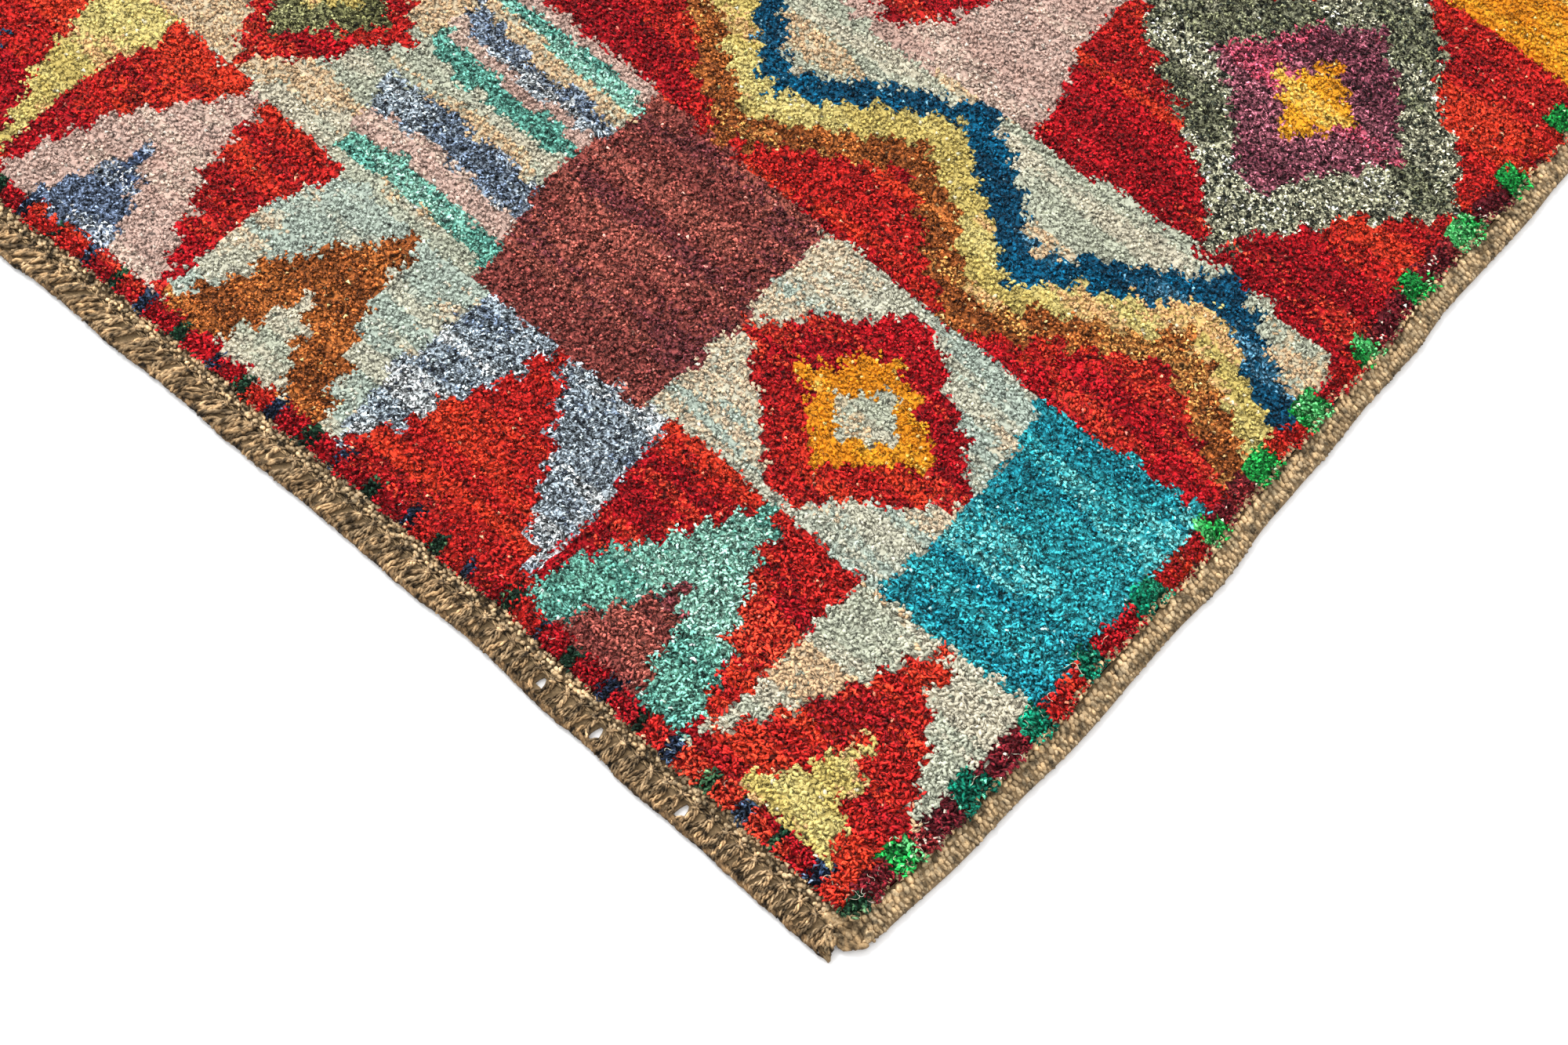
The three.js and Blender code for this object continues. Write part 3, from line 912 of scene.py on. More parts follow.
class RUG_OT_stage(bpy.types.Operator):
    """Lay a pale floor, set soft light and place the camera at the photograph's angle"""

    bl_idname = "rug.stage"
    bl_label = "Stage"

    def execute(self, context):
        context.scene.view_settings.view_transform = "Standard"
        turn = Matrix.Rotation(context.scene.rug_studio.turn, 4, "Z")
        self.floor(context)
        self.sky(context)
        self.camera(context, turn)
        self.key(context, turn)
        context.view_layer.update()
        return {"FINISHED"}

    def floor(self, context):
        """A pale floor, much wider than the frame."""
        bm = bmesh.new()
        bmesh.ops.create_grid(bm, x_segments=2, y_segments=2, size=FLOOR_HALF)
        mesh = bpy.data.meshes.new("floor")
        bm.to_mesh(mesh)
        bm.free()
        floor = bpy.data.objects.new("floor", mesh)
        context.collection.objects.link(floor)
        mesh.materials.append(cloth_material("pale_floor", (0.98, 0.98, 0.98), 6, 0.99, 1.01))

    def sky(self, context):
        """Even white light from all round."""
        world = bpy.data.worlds.new("studio")
        world.use_nodes = True
        background = world.node_tree.nodes["Background"]
        background.inputs["Color"].default_value = (1, 1, 1, 1)
        background.inputs["Strength"].default_value = context.scene.rug_studio.sky
        context.scene.world = world

    def camera(self, context, turn):
        """The camera, at the photograph's angle to the rug's corner."""
        studio = context.scene.rug_studio
        aside = turn @ CORNER_IN_VIEW * studio.distance
        back = turn @ Vector((0, -math.cos(studio.pitch), math.sin(studio.pitch)))
        camera = bpy.data.objects.new("camera", bpy.data.cameras.new("camera"))
        context.collection.objects.link(camera)
        camera.data.lens = studio.lens
        camera.data.sensor_width = SENSOR_WIDTH
        camera.data.clip_start = 0.05
        camera.location = PHOTO_CORNER - aside + back * studio.distance
        camera.rotation_euler = (math.pi / 2 - studio.pitch, 0, studio.turn)
        context.scene.camera = camera

    def key(self, context, turn):
        """A key light, far off and large, so that it is even over the whole rug."""
        light = bpy.data.lights.new("key", "AREA")
        light.energy = context.scene.rug_studio.key
        light.size = KEY_SIZE
        key = bpy.data.objects.new("key", light)
        context.collection.objects.link(key)
        key.location = KEY_AIM + KEY_FAR * (turn @ KEY_BEHIND + KEY_ABOVE)
        key.rotation_euler = (KEY_AIM - key.location).to_track_quat("-Z", "Y").to_euler()


def flat_box(name, half_x, half_y, cell, rise):
    """A closed flat box whose square cells are at height 0 and whose other side is at rise.

    Returns its mesh and its points, in millimetres across and along."""
    columns, rows = round(2 * half_x / cell), round(2 * half_y / cell)
    bm = bmesh.new()
    bmesh.ops.create_grid(bm, x_segments=columns, y_segments=rows, size=1)
    rim = [edge for edge in bm.edges if edge.is_boundary]
    moved = bmesh.ops.extrude_edge_only(bm, edges=rim)["geom"]
    edge_points = [item for item in moved if isinstance(item, bmesh.types.BMVert)]
    bmesh.ops.translate(bm, verts=edge_points, vec=(0, 0, rise))
    lid = [edge for edge in bm.edges if edge.is_boundary]
    bmesh.ops.contextual_create(bm, geom=lid)
    bmesh.ops.recalc_face_normals(bm, faces=bm.faces)
    bmesh.ops.triangulate(bm, faces=[face for face in bm.faces if len(face.verts) > 4])
    mesh = bpy.data.meshes.new(name)
    bm.to_mesh(mesh)
    bm.free()
    return mesh, read_points(mesh) * (half_x, half_y, 1)


def read_points(mesh):
    """A mesh's points as an array."""
    points = np.empty(len(mesh.vertices) * 3)
    mesh.vertices.foreach_get("co", points)
    return points.reshape(-1, 3)


def put_points(mesh, points):
    """Moves a mesh's points to places in millimetres."""
    mesh.vertices.foreach_set("co", (points * MM).ravel())
    mesh.update()


def face_values(mesh, name):
    """The middle or the normal of every face of a mesh."""
    values = np.empty(len(mesh.polygons) * 3)
    mesh.polygons.foreach_get(name, values)
    return values.reshape(-1, 3)


def from_rim(x, y, p):
    """How far places are inside the pile's nearest side or end."""
    return np.minimum(p.pile_x - np.abs(x), p.pile_y - np.abs(y))


def yarns_at(points, p):
    """The yarns at places of the straight rug, which are returned from its corner as well."""
    u, v = p.pile_x - points[:, 0], points[:, 1] + p.pile_y
    column = np.clip((u / p.knot).astype(int), 0, p.columns - 1)
    row = np.clip((v / p.knot).astype(int), 0, p.rows - 1)
    return knot_yarns(p)[row, column], u, v


def paint_faces(mesh, p, stream, value):
    """Gives every face of a straight flat mesh the colour of the knot at its middle."""
    yarns, u, v = yarns_at(face_values(mesh, "center") / MM, p)
    colours = yarn_colours(yarns, u, v, stream, 1.0)
    colours[:, :3] *= np.broadcast_to(value, len(u))[:, None]
    layer = mesh.color_attributes.new(name="yarn", type="FLOAT_COLOR", domain="CORNER")
    layer.data.foreach_set("color", per_corner(mesh, colours).astype(np.float32).ravel())


def per_corner(mesh, values):
    """Values of a mesh's faces, repeated for each face's corners."""
    total = np.empty(len(mesh.polygons), int)
    mesh.polygons.foreach_get("loop_total", total)
    return np.repeat(values, total, axis=0)


def map_flat(mesh, points, main):
    """Lays a flat box's main side, up or down, over most of a map, its others in strips."""
    low, high = points.min(axis=0), points.max(axis=0)
    corner = np.empty(len(mesh.loops), int)
    mesh.loops.foreach_get("vertex_index", corner)
    share = ((points - low) / (high - low))[corner]
    normal = per_corner(mesh, face_values(mesh, "normal"))
    by_side = np.abs(normal[:, 0]) > np.abs(normal[:, 1])
    strip = np.where(by_side, normal[:, 0] > 0, 2 + (normal[:, 1] > 0))
    across = np.where(by_side, share[:, 1], share[:, 0])
    # The four narrow sides, then the hidden flat side, then the main one
    uv = np.stack([across, 0.95 + 0.012 * strip + 0.01 * share[:, 2]], axis=1)
    uv = np.where(np.abs(normal[:, 2:]) > 0.5, share[:, :2] * (0.6, 0.02) + (0.01, 0.92), uv)
    uv = np.where(normal[:, 2:] * main > 0.5, share[:, :2] * (1, 0.9), uv)
    mesh.uv_layers.new(name="OFBake").uv.foreach_set("vector", uv.astype(np.float32).ravel())


# The ground cloth: how far inside the pile's rim it ends, its cells, height and thickness
CLOTH_INSET = 0.6
CLOTH_CELL = 16.0
CLOTH_LOW = 0.3
CLOTH_THICK = 2.3
CLOTH_LIGHT = 0.8


class RUG_OT_ground_cloth(bpy.types.Operator):
    """Weave the thin ground that the knots sit in, with their backs showing underneath"""

    bl_idname = "rug.ground_cloth"
    bl_label = "Ground cloth"

    def execute(self, context):
        p = plan()
        half_x, half_y = p.pile_x - CLOTH_INSET, p.pile_y - CLOTH_INSET
        mesh, points = flat_box("ground_cloth", half_x, half_y, CLOTH_CELL, CLOTH_THICK)
        points[:, 2] += CLOTH_LOW
        put_points(mesh, points)
        paint_faces(mesh, p, STREAM.back_colours, CLOTH_LIGHT)
        map_flat(mesh, points, -1)
        put_points(mesh, waved(points, p))
        mesh.materials.append(yarn_material("knot_backs", BACK_FIBRES))
        cloth = linked("ground_cloth", mesh)
        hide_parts("pile_field")
        return {"FINISHED"}


# The pile's bed: how far inside the rim it ends, its cells, how much they are pushed about,
# how far its top is under the pile's and how uneven, its foot, how far from the rim it starts
# to fall and by how much, and the painted shade on its colour, lighter under the cut ends
BED_INSET = 1
BED_CELL = 7.2
BED_JITTER = 3
BED_SINK = 0.9
BED_UNEVEN = 0.6
BED_FOOT = 2.7
BED_RIM = 6
BED_RIM_DROP = 5.2
BED_PAINTED_LIGHT = 0.78
BED_PAINTED_LIGHT_UNDER_ENDS = 0.08


class RUG_OT_pile_bed(bpy.types.Operator):
    """Make the knotted surface that the cut ends stand in"""

    bl_idname = "rug.pile_bed"
    bl_label = "Pile bed"

    def execute(self, context):
        p = plan()
        rng = draws(STREAM.bed)
        half_x, half_y = p.pile_x - BED_INSET, p.pile_y - BED_INSET
        mesh, points = flat_box("pile_bed", half_x, half_y, BED_CELL, -1)
        is_foot = points[:, 2] < -0.5
        to_rim = from_rim(points[:, 0], points[:, 1], p)
        jitter = spread(rng, (len(points), 2), BED_JITTER)
        points[to_rim > 2, :2] += jitter[to_rim > 2]
        under = lofts(yarns_at(points, p)[0]).bed * ends_share(points, p)
        top = p.pile_top - BED_SINK - under + spread(rng, len(points), BED_UNEVEN)
        top = top - BED_RIM_DROP * np.clip(1 - to_rim / BED_RIM, 0, 1)
        points[:, 2] = np.where(is_foot, BED_FOOT, top)
        put_points(mesh, points)
        # Painted shade on the bed's colour, lighter where cut ends stand over it in view
        light = BED_PAINTED_LIGHT + BED_PAINTED_LIGHT_UNDER_ENDS * ends_share(face_values(mesh, "center") / MM, p)
        paint_faces(mesh, p, STREAM.bed_colours, light)
        map_flat(mesh, points, 1)
        put_points(mesh, waved(points, p))
        mesh.polygons.foreach_set("use_smooth", np.full(len(mesh.polygons), True))
        mesh.materials.append(yarn_material("knotted_pile_bed", BED_FIBRES))
        bed = linked("pile_bed", mesh)
        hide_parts("pile_field")
        return {"FINISHED"}


def ends_share(points, p):
    """How much of the pile is real cut ends at a place: all in view, and all round the rim."""
    flat = points.copy()
    flat[:, 2] = p.pile_top
    rim = np.clip((p.guard + 6 - from_rim(points[:, 0], points[:, 1], p)) / 8, 0, 1) * 0.8
    return np.maximum(seen_share(flat), rim)


# Steps of the pile's outline, in millimetres: how long they are, how far their unevenness
# takes them, the furthest in and out, their share of that at the ends, and how many are drawn
RIM_STEP_LONG = 4.1
RIM_STEP_UNEVEN = 9.5
RIM_STEP_IN = -3.6
RIM_STEP_OUT = 3.4
RIM_STEP_AT_END = 0.4
RIM_DRAWS = 600


def rim_step(along, by_side):
    """How far the pile's edge stands out at places along it."""
    index = np.floor(along / RIM_STEP_LONG).astype(int)
    drawn = draws(STREAM.rim_knots).random(RIM_DRAWS)[index % RIM_DRAWS]
    uneven = 0.65 * patchy(index / 1.9, index / 43, STREAM.rim) + 0.35 * drawn
    step = np.clip(RIM_STEP_UNEVEN * (uneven - 0.5), RIM_STEP_IN, RIM_STEP_OUT)
    return step * np.where(by_side, 1, RIM_STEP_AT_END)


# Cut yarn ends from their root to their tip: how far along, height under the pile's top,
# thickness and painted light, with painted shade at the root and a painted highlight by the tip
EndRings = namedtuple("EndRings", "along rise thick shade")
CURLED_ENDS = EndRings(
    (0, 0.3, 0.62, 0.86, 1),
    (-2.8, -0.5, 0.1, -0.1, -1.0),
    (0, 0.85, 1, 0.8, 0),
    (0.2, 0.6, 1.1, 1.2, 0.9),
)
SHORT_ENDS = EndRings((0, 0.7, 1), (-2.6, 0.0, -0.5), (0, 1.2, 0), (0.15, 1.1, 1.0))
# Faces in one piece of cut ends, at most
PIECE_FACES = 160_000

# Millimetres from the photographed corner: up to which the ends are all curled, over which
# they turn to short ones, and from which they get fewer, over how long
CURLED_REACH = 230
CURLED_FADE = 80
FEWER_FROM = 350
FEWER_OVER = 500
# Ends of a knot at the rim out of view, and how many more there are in view: near the corner,
# far from it, in the guard stripe and in the outermost row
RIM_ENDS = 1.6
MORE_NEAR = 0.2
FEWER_FAR = 0.19
MORE_IN_GUARD = 1.3
MORE_AT_RIM = 1.2

# How far ends near the rim spill over it, how much more the green spots do, and how far from
# the rim they are drawn towards it
SPILL = 1.1
SPOT_SPILL = 1.2
STEP_SPILL = 0.84
SPILL_FROM = 15
RIM_ZONE = 7
# Painted light of an end by its height: how much lighter the highest are painted and how much
# darker the lowest, for a yarn whose loft's dark is 1
PAINTED_HIGH_LIGHT = 0.7
PAINTED_LOW_SHADE = 1.4
PAINTED_SHADE_LEAST = 0.1
LIGHTEST = 0.96

# Loose pale fibres that lie curled on the pile: how many, half thickness and mean length
LOOSE_FIBRES = 38
FIBRE_RADIUS = 0.15
FIBRE_LONG = 8.5


class RUG_OT_pile_ends(bpy.types.Operator):
    """Set the cut yarn ends of the knots, curling and leaning in all directions"""

    bl_idname = "rug.pile_ends"
    bl_label = "Pile ends"

    def execute(self, context):
        p = plan()
        rng = draws(STREAM.pile_ends)
        row, column = np.mgrid[0 : p.rows, 0 : p.columns]
        x = p.pile_x - (column.ravel() + 0.5) * p.knot
        y = (row.ravel() + 0.5) * p.knot - p.pile_y
        knots = SimpleNamespace(x=x, y=y, yarn=knot_yarns(p).ravel(), to_rim=from_rim(x, y, p))
        corner = np.hypot(x - p.pile_x, y + p.pile_y)
        curled = np.clip((CURLED_REACH - corner) / CURLED_FADE, 0, 1)
        number = self.ends_of(knots, corner, curled, p) + rng.random(x.shape)
        number = np.floor(number).astype(int)
        knot = np.repeat(np.arange(len(x)), number)
        is_curled = rng.random(len(knot)) < curled[knot]
        material = yarn_material("cut_wool_pile", END_FIBRES)
        made = 0
        for rings, chosen in ((CURLED_ENDS, is_curled), (SHORT_ENDS, ~is_curled)):
            net = ball_net(3, len(rings.rise) - 1)
            part = knot[chosen]
            # Bands across the rug keep each piece under the limit of faces
            share = math.ceil(len(part) * len(net.triangles) / PIECE_FACES)
            for band in np.array_split(part, share):
                made += 1
                arrays = self.ends(p, net, rings, knots, band, made)
                if made == 1:
                    arrays = merged([arrays, self.fibres(p)])
                piece = piece_from(f"pile_ends_{made}", arrays, material)
                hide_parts("pile_field")
        return {"FINISHED"}

    def ends_of(self, knots, corner, curled, p):
        """How many cut ends each knot has, on average."""
        centre = np.stack([knots.x, knots.y, np.full(knots.x.shape, p.pile_top)], axis=1)
        seen = seen_share(centre)
        distant = np.clip((corner - FEWER_FROM) / FEWER_OVER, 0, 1)
        number = seen * lofts(knots.yarn).number * (1 + MORE_NEAR * curled - FEWER_FAR * distant)
        number = np.where(knots.to_rim < p.guard + 2, np.maximum(number, RIM_ENDS), number)
        number = number * np.where((knots.to_rim < p.guard) & (seen > 0.5), MORE_IN_GUARD, 1)
        return number * np.where((knots.to_rim < p.knot) & (seen > 0.5), MORE_AT_RIM, 1)

    def fibres(self, p):
        """Loose pale fibres on the dark yarns of the guard stripe and the corner."""
        rng = draws(STREAM.fibres)
        net = ball_net(3, 11)
        t = np.linspace(0, 1, net.rings)[None]
        by_end = rng.random(LOOSE_FIBRES) < 0.35
        far = 9 + np.where(by_end, 330, 190) * rng.random(LOOSE_FIBRES) ** 1.4
        inside = 4 + 10 * rng.random(LOOSE_FIBRES)
        x = p.pile_x - np.where(by_end, far, inside)
        y = np.where(by_end, inside, far) - p.pile_y
        turn = 6.3 * rng.random((LOOSE_FIBRES, 1)) + spread(rng, (LOOSE_FIBRES, 1), 3.6) * t
        turn = turn + 0.9 * np.sin(5 * t + 6 * rng.random((LOOSE_FIBRES, 1)))
        step = FIBRE_LONG * (0.5 + rng.random((LOOSE_FIBRES, 1))) / net.rings
        flat = np.cumsum(facing(turn) * step[..., None], axis=1)
        flat = flat + np.stack([x, y], axis=1)[:, None]
        up = p.pile_top - 0.1 - 0.4 * rng.random((LOOSE_FIBRES, 1)) - 0.2 * np.sin(14 * t) ** 2
        paths = np.concatenate([flat, up[..., None]], axis=2)
        points = threads(net, paths, np.full((LOOSE_FIBRES, net.rings), FIBRE_RADIUS))
        return joined(p, net, points, uneven_wool(LOOSE_FIBRES, FIBRE_WOOL))

    def ends(self, p, net, rings, knots, knot, made):
        """Cut ends, each starting at its knot and lying over at its tip."""
        rng = draws(STREAM.ends + made)
        count = len(knot)
        yarn = knots.yarn[knot]
        loft = lofts(yarn)
        start = np.stack([knots.x[knot], knots.y[knot]], axis=1)
        start = start + spread(rng, (count, 2), p.knot) * 1.05
        u, v = p.pile_x - start[:, 0], start[:, 1] + p.pile_y
        swirl = wander(4.2, u / 34, v / 34, STREAM.swirl)
        swirl = swirl + wander(3.0, u / 9, v / 9, STREAM.fine_swirl)
        lean = facing(-math.pi / 2 + swirl + 0.8 * rng.standard_normal(count))
        # Locks at the rim spread outwards over the edge finishes
        out = np.sign(start)
        by_side = (p.pile_x - np.abs(start[:, 0])) < (p.pile_y - np.abs(start[:, 1]))
        out[by_side, 1] = 0
        out[~by_side, 0] = 0
        at_rim = np.clip(1 - knots.to_rim[knot] / RIM_ZONE, 0, 1)[:, None]
        lean = lean * (1 - 0.6 * at_rim) + out * at_rim * 0.9
        spot = np.isin(yarn, [YARN_NAMES.index(name) for name in ("green", "teal_green")])
        step = rim_step(np.where(by_side, v, u), by_side)
        spill = SPILL + STEP_SPILL * step + SPOT_SPILL * spot
        drawn = np.clip(1 - knots.to_rim[knot] / SPILL_FROM, 0, 1)[:, None]
        start = start + out * drawn * (spill + 0.5 * rng.random(count))[:, None]
        aside = np.stack([-lean[:, 1], lean[:, 0]], axis=1)
        reach = loft.long * (0.75 + 0.5 * rng.random(count)) * (1 - 0.25 * at_rim[:, 0])
        curl = spread(rng, count, loft.curl)
        t = np.array(rings.along)[None]
        flat = start[:, None] + lean[:, None] * (reach[:, None] * (t * 1.1 - 0.5))[..., None]
        flat = flat + aside[:, None] * (curl[:, None] * np.sin(3.6 * t))[..., None]
        sunk = rng.random(count)
        top = p.pile_top - 0.2 - loft.uneven * sunk
        top = top - 1.8 * at_rim[:, 0] * rng.random(count)
        height = top[:, None] + np.array(rings.rise)[None]
        paths = np.concatenate([flat, height[..., None]], axis=2)
        thick = loft.thick * (0.8 + 0.4 * rng.random(count))
        wide = thick[:, None] * np.array(rings.thick)[None]
        points = threads(net, paths, wide, wide * loft.flat[:, None])
        colours = yarn_colours(yarn, u, v, STREAM.end_colours + made)
        # Painted shade: ends that stand lower lie in the shade of the others, so they are darkened
        painted_shade = np.maximum(1 + loft.dark * (PAINTED_HIGH_LIGHT - PAINTED_LOW_SHADE * sunk), PAINTED_SHADE_LEAST)
        colours[:, :3] = np.minimum(colours[:, :3] * painted_shade[:, None], LIGHTEST)
        return joined(p, net, points, colours, rings.shade)


# Columns of wraps on a selvedge: distance from the pile, height, pitch along the edge, half
# sizes, how far each wrap is turned from straight across, in degrees, and how light it is:
# painted light on the column by the pile, against its shadow, and painted shade on the outermost
Wraps = namedtuple("Wraps", "out up pitch long wide tall turn tone")
SELVEDGE_WRAPS = (
    Wraps(0.4, 5.7, 3.9, 2.9, 2.1, 1.7, 36, 1.8),
    Wraps(3.9, 5.4, 3.4, 2.7, 1.85, 1.6, 28, 1.02),
    Wraps(7.2, 5.2, 3.1, 2.5, 1.7, 1.5, 20, 0.87),
    Wraps(10.2, 4.7, 2.6, 2.5, 1.35, 1.5, 10, 0.85),
    Wraps(12.7, 3.1, 2.3, 1.7, 1.2, 2.3, 8, 0.74),
)
# Where a selvedge ends, the radius of its rounded ends, how far out its wraps may be, and how
# much of its +X end at the photographed corner has large wraps instead
SELVEDGE_END = 888
SELVEDGE_END_RADIUS = 15
WRAP_LIMIT = 13.4
CORNER_LONG = 11

# Large wraps where the photographed corner's selvedge ends: how far inside the outline's
# corner they are along X and Y, height, half sizes, and direction in degrees from +X
CornerWrap = namedtuple("CornerWrap", "inside_x inside_y up long wide tall turn")
CORNER_WRAPS = (
    CornerWrap(12.5, 15.5, 2.6, 10.5, 7.5, 2.2, -62),
    CornerWrap(22.0, 15.0, 3.8, 6.2, 4.2, 1.9, 24),
    CornerWrap(18.0, 14.8, 4.8, 3.6, 1.3, 1.6, 62),
    CornerWrap(15.4, 13.2, 4.8, 3.6, 1.4, 1.6, -16),
    CornerWrap(14.4, 10.0, 4.4, 3.2, 1.3, 1.6, 30),
    CornerWrap(10.4, 18.0, 4.9, 4.4, 2.2, 1.8, -58),
    CornerWrap(13.6, 21.6, 4.9, 3.6, 2.0, 1.8, -50),
    CornerWrap(7.0, 10.9, 3.6, 4.6, 2.2, 2.0, 22),
    CornerWrap(2.9, 14.0, 3.2, 3.6, 1.7, 2.2, 50),
    CornerWrap(6.2, 14.8, 4.6, 3.2, 1.6, 1.6, -34),
    CornerWrap(10.8, 13.2, 4.6, 2.8, 1.6, 1.6, -10),
    CornerWrap(3.8, 18.2, 4.2, 3.0, 1.5, 1.6, -38),
    CornerWrap(7.2, 19.8, 4.8, 3.2, 1.6, 1.6, -40),
    CornerWrap(11.2, 9.0, 3.4, 2.6, 1.5, 1.8, -10),
    CornerWrap(18.4, 19.2, 5.0, 2.8, 1.8, 1.6, -40),
    CornerWrap(14.6, 17.0, 4.8, 2.8, 1.7, 1.6, 10),
    CornerWrap(3.4, 21.2, 4.4, 3.0, 1.5, 1.7, -32),
    CornerWrap(2.8, 17.6, 3.2, 3.2, 1.4, 2.2, 68),
)


class RUG_OT_selvedges(bpy.types.Operator):
    """Wrap both selvedges with slanted columns of undyed wool"""

    bl_idname = "rug.selvedges"
    bl_label = "Selvedges"

    def execute(self, context):
        p = plan()
        material = yarn_material("wrapped_selvedge_wool", SMOOTH_FIBRES)
        dark = context.scene.rug_yarns.undyed_dark
        # The core's darkened wool is painted shade between the wraps
        core = cloth_material("selvedge_core", dark, 500, 0.5, 0.8)
        for side in SIDES:
            parts = [self.wraps(p, side, row, index) for index, row in enumerate(SELVEDGE_WRAPS)]
            if side.in_photo:
                parts.append(self.corner_wraps(p))
            piece = piece_from(f"selvedge_wraps_{side.name}", merged(parts), material)
            dress_core(f"selvedge_{side.name}", core)
        return {"FINISHED"}

    def wraps(self, p, side, row, index):
        """One column of wraps, drawn in round the selvedge's two ends."""
        rng = draws(STREAM.wraps + 10 * index + side.sign)
        along = np.arange(-SELVEDGE_END + 1, SELVEDGE_END, row.pitch) + (index % 2) * row.pitch / 2
        radius = SELVEDGE_END_RADIUS
        past = np.clip(np.abs(along) - (SELVEDGE_END - radius), 0, radius)
        limit = WRAP_LIMIT - 1.2 * (radius - np.sqrt(radius**2 - past**2))
        # The photographed corner has its own large wraps
        own = side.in_photo & (along < -SELVEDGE_END + CORNER_LONG)
        keep = (row.out < limit + 1.4) & ~own
        along, limit = along[keep], limit[keep]
        count = len(along)
        along = along + spread(rng, count, 1.3)
        along = along + wander(3, along / 17, along / 60 + index, STREAM.wrap_drift)
        step = rim_step(along + p.pile_y, True) if index == 0 else np.zeros(count)
        up = row.up - np.where(step < 0, 0.4, 0.8) * step + spread(rng, count, 0.8)
        step = np.minimum(step, 0)
        out = p.pile_x + np.minimum(row.out, limit) + step + spread(rng, count, 1.1)
        centres = np.stack([side.sign * out, along, up], axis=1)
        direction = facing(np.radians(row.turn + spread(rng, count, 44))) * (side.sign, -1)
        size = 1 + spread(rng, count, 0.36)
        net = grain_net(side)
        points = grains(net, centres, direction, row.long * size, row.wide * size, row.tall * size)
        look = WRAP_WOOL._replace(tone=row.tone, stream=WRAP_WOOL.stream + index)
        return joined(p, net, points, uneven_wool(count, look))

    def corner_wraps(self, p):
        """The large wraps that close the photographed corner."""
        net = ball_net(8, 6)
        rows = CornerWrap(*np.array(CORNER_WRAPS).T)
        # The outline's own waviness moves this corner out by its first step
        x = p.half_wide - rows.inside_x
        y = NEAR_END_WAVE[0].out - p.half_long + rows.inside_y
        centres = np.stack([x, y, rows.up], axis=1)
        direction = facing(np.radians(rows.turn))
        points = grains(net, centres, direction, rows.long, rows.wide, rows.tall)
        return joined(p, net, points, uneven_wool(len(CORNER_WRAPS), CORNER_WOOL))


def at_end(end, along, out, up, p):
    """Places at one end of the rug: along it, outwards from its pile, and up."""
    along, out, up = np.broadcast_arrays(along, out, up)
    return np.stack([along, end.sign * (p.pile_y + out), up], axis=-1)


# Rows of beads on a weft band: distance from the pile, height, half sizes, shift in pitches,
# and how light they are
Beads = namedtuple("Beads", "out up long wide tall shift tone")
BAND_BEADS = (
    Beads(0.4, 4.9, 1.9, 1.5, 1.5, 0.0, 1.36),
    Beads(2.8, 4.9, 1.9, 1.4, 1.5, 0.5, 1.1),
    Beads(5.1, 4.4, 1.8, 1.35, 1.4, 0.2, 1.06),
)
BEAD_PITCH = 3.1


class RUG_OT_weft_bands(bpy.types.Operator):
    """Lay the rounded weft beads between the pile and the ties"""

    bl_idname = "rug.weft_bands"
    bl_label = "Weft bands"

    def execute(self, context):
        p = plan()
        material = yarn_material("weft_bead_wool", SMOOTH_FIBRES)
        dark = context.scene.rug_yarns.undyed_dark
        # The core's darkened wool is painted shade between the beads
        core = cloth_material("weft_band_core", dark, 500, 0.35, 0.65)
        for end in ENDS:
            parts = [self.beads(p, end, row, index) for index, row in enumerate(BAND_BEADS)]
            piece = piece_from(f"weft_beads_{end.name}", merged(parts), material)
            dress_core(f"weft_band_{end.name}", core)
        return {"FINISHED"}

    def beads(self, p, end, row, index):
        """One row of beads, uneven in place and size."""
        rng = draws(STREAM.beads + 10 * index + end.sign)
        net = grain_net(end)
        reach = p.pile_x - 4
        along = np.arange(-reach, reach, BEAD_PITCH) + row.shift * BEAD_PITCH
        count = len(along)
        along = along + spread(rng, count, 1.7)
        out = row.out + spread(rng, count, 1.5)
        centres = at_end(end, along, out, row.up + spread(rng, count, 1.0), p)
        direction = facing(np.radians(spread(rng, count, 110)))
        size = 1 + spread(rng, count, 0.5)
        points = grains(net, centres, direction, row.long * size, row.wide * size, row.tall * size)
        look = BEAD_WOOL._replace(tone=row.tone, stream=BEAD_WOOL.stream + index)
        return joined(p, net, points, uneven_wool(count, look))


# The run of a cord from its tie over the backing into the rolled edge: distance from the
# pile, height, how much of its lean it has by then, and how much of its spread
Run = namedtuple("Run", "out up lean spread")
CORD_RUN = (
    Run(8.4, 3.6, 0.0, 0.2), Run(9.8, 4.8, 0.05, 0.4), Run(12.0, 4.7, 0.25, 0.7),
    Run(14.6, 4.5, 0.5, 0.9), Run(17.4, 4.7, 0.75, 1.0), Run(19.8, 4.7, 1.0, 1.05),
    Run(21.6, 3.9, 1.15, 1.08), Run(22.3, 2.4, 1.3, 1.1),
)
# Cords: their rings, half thickness, how far apart they fan out, and their plies
CORDS_PER_TIE = 4
CORD_RINGS = 15
CORD_RADIUS = 0.68
CORD_SPREAD = 3.7
CORD_PLIES = 2
# How far the plies are from a cord's middle, and how often they turn round it
PLY_RADIUS = 0.68
PLY_TURNS = 2.4
# Rings that are left of a cord out of view, which is one thicker thread
FEW_RINGS = (0, 3, 7, 11, 14)
FEW_THICKER = 1.7
# Painted shade along a cord, darker towards the outline: shares of its length and of its light
CORD_PAINTED_SHADE = ((0, 0.65, 1), (1, 0.98, 0.84))
# Where the cords start to be matted, from the photographed corner, over how long, and how
# matted they are at the other end
MATTED_FROM = 200
MATTED_OVER = 260
MATTED_FAR_END = 0.3
# The height under which cords aren't lowered beside a gap
LOW_CORD = 2.6

# Ties: how far out they are, and the half sizes of the wraps of their knots
TIE_OUT = 8.8
KNOT_SIZES = (2.1, 0.75, 0.8)
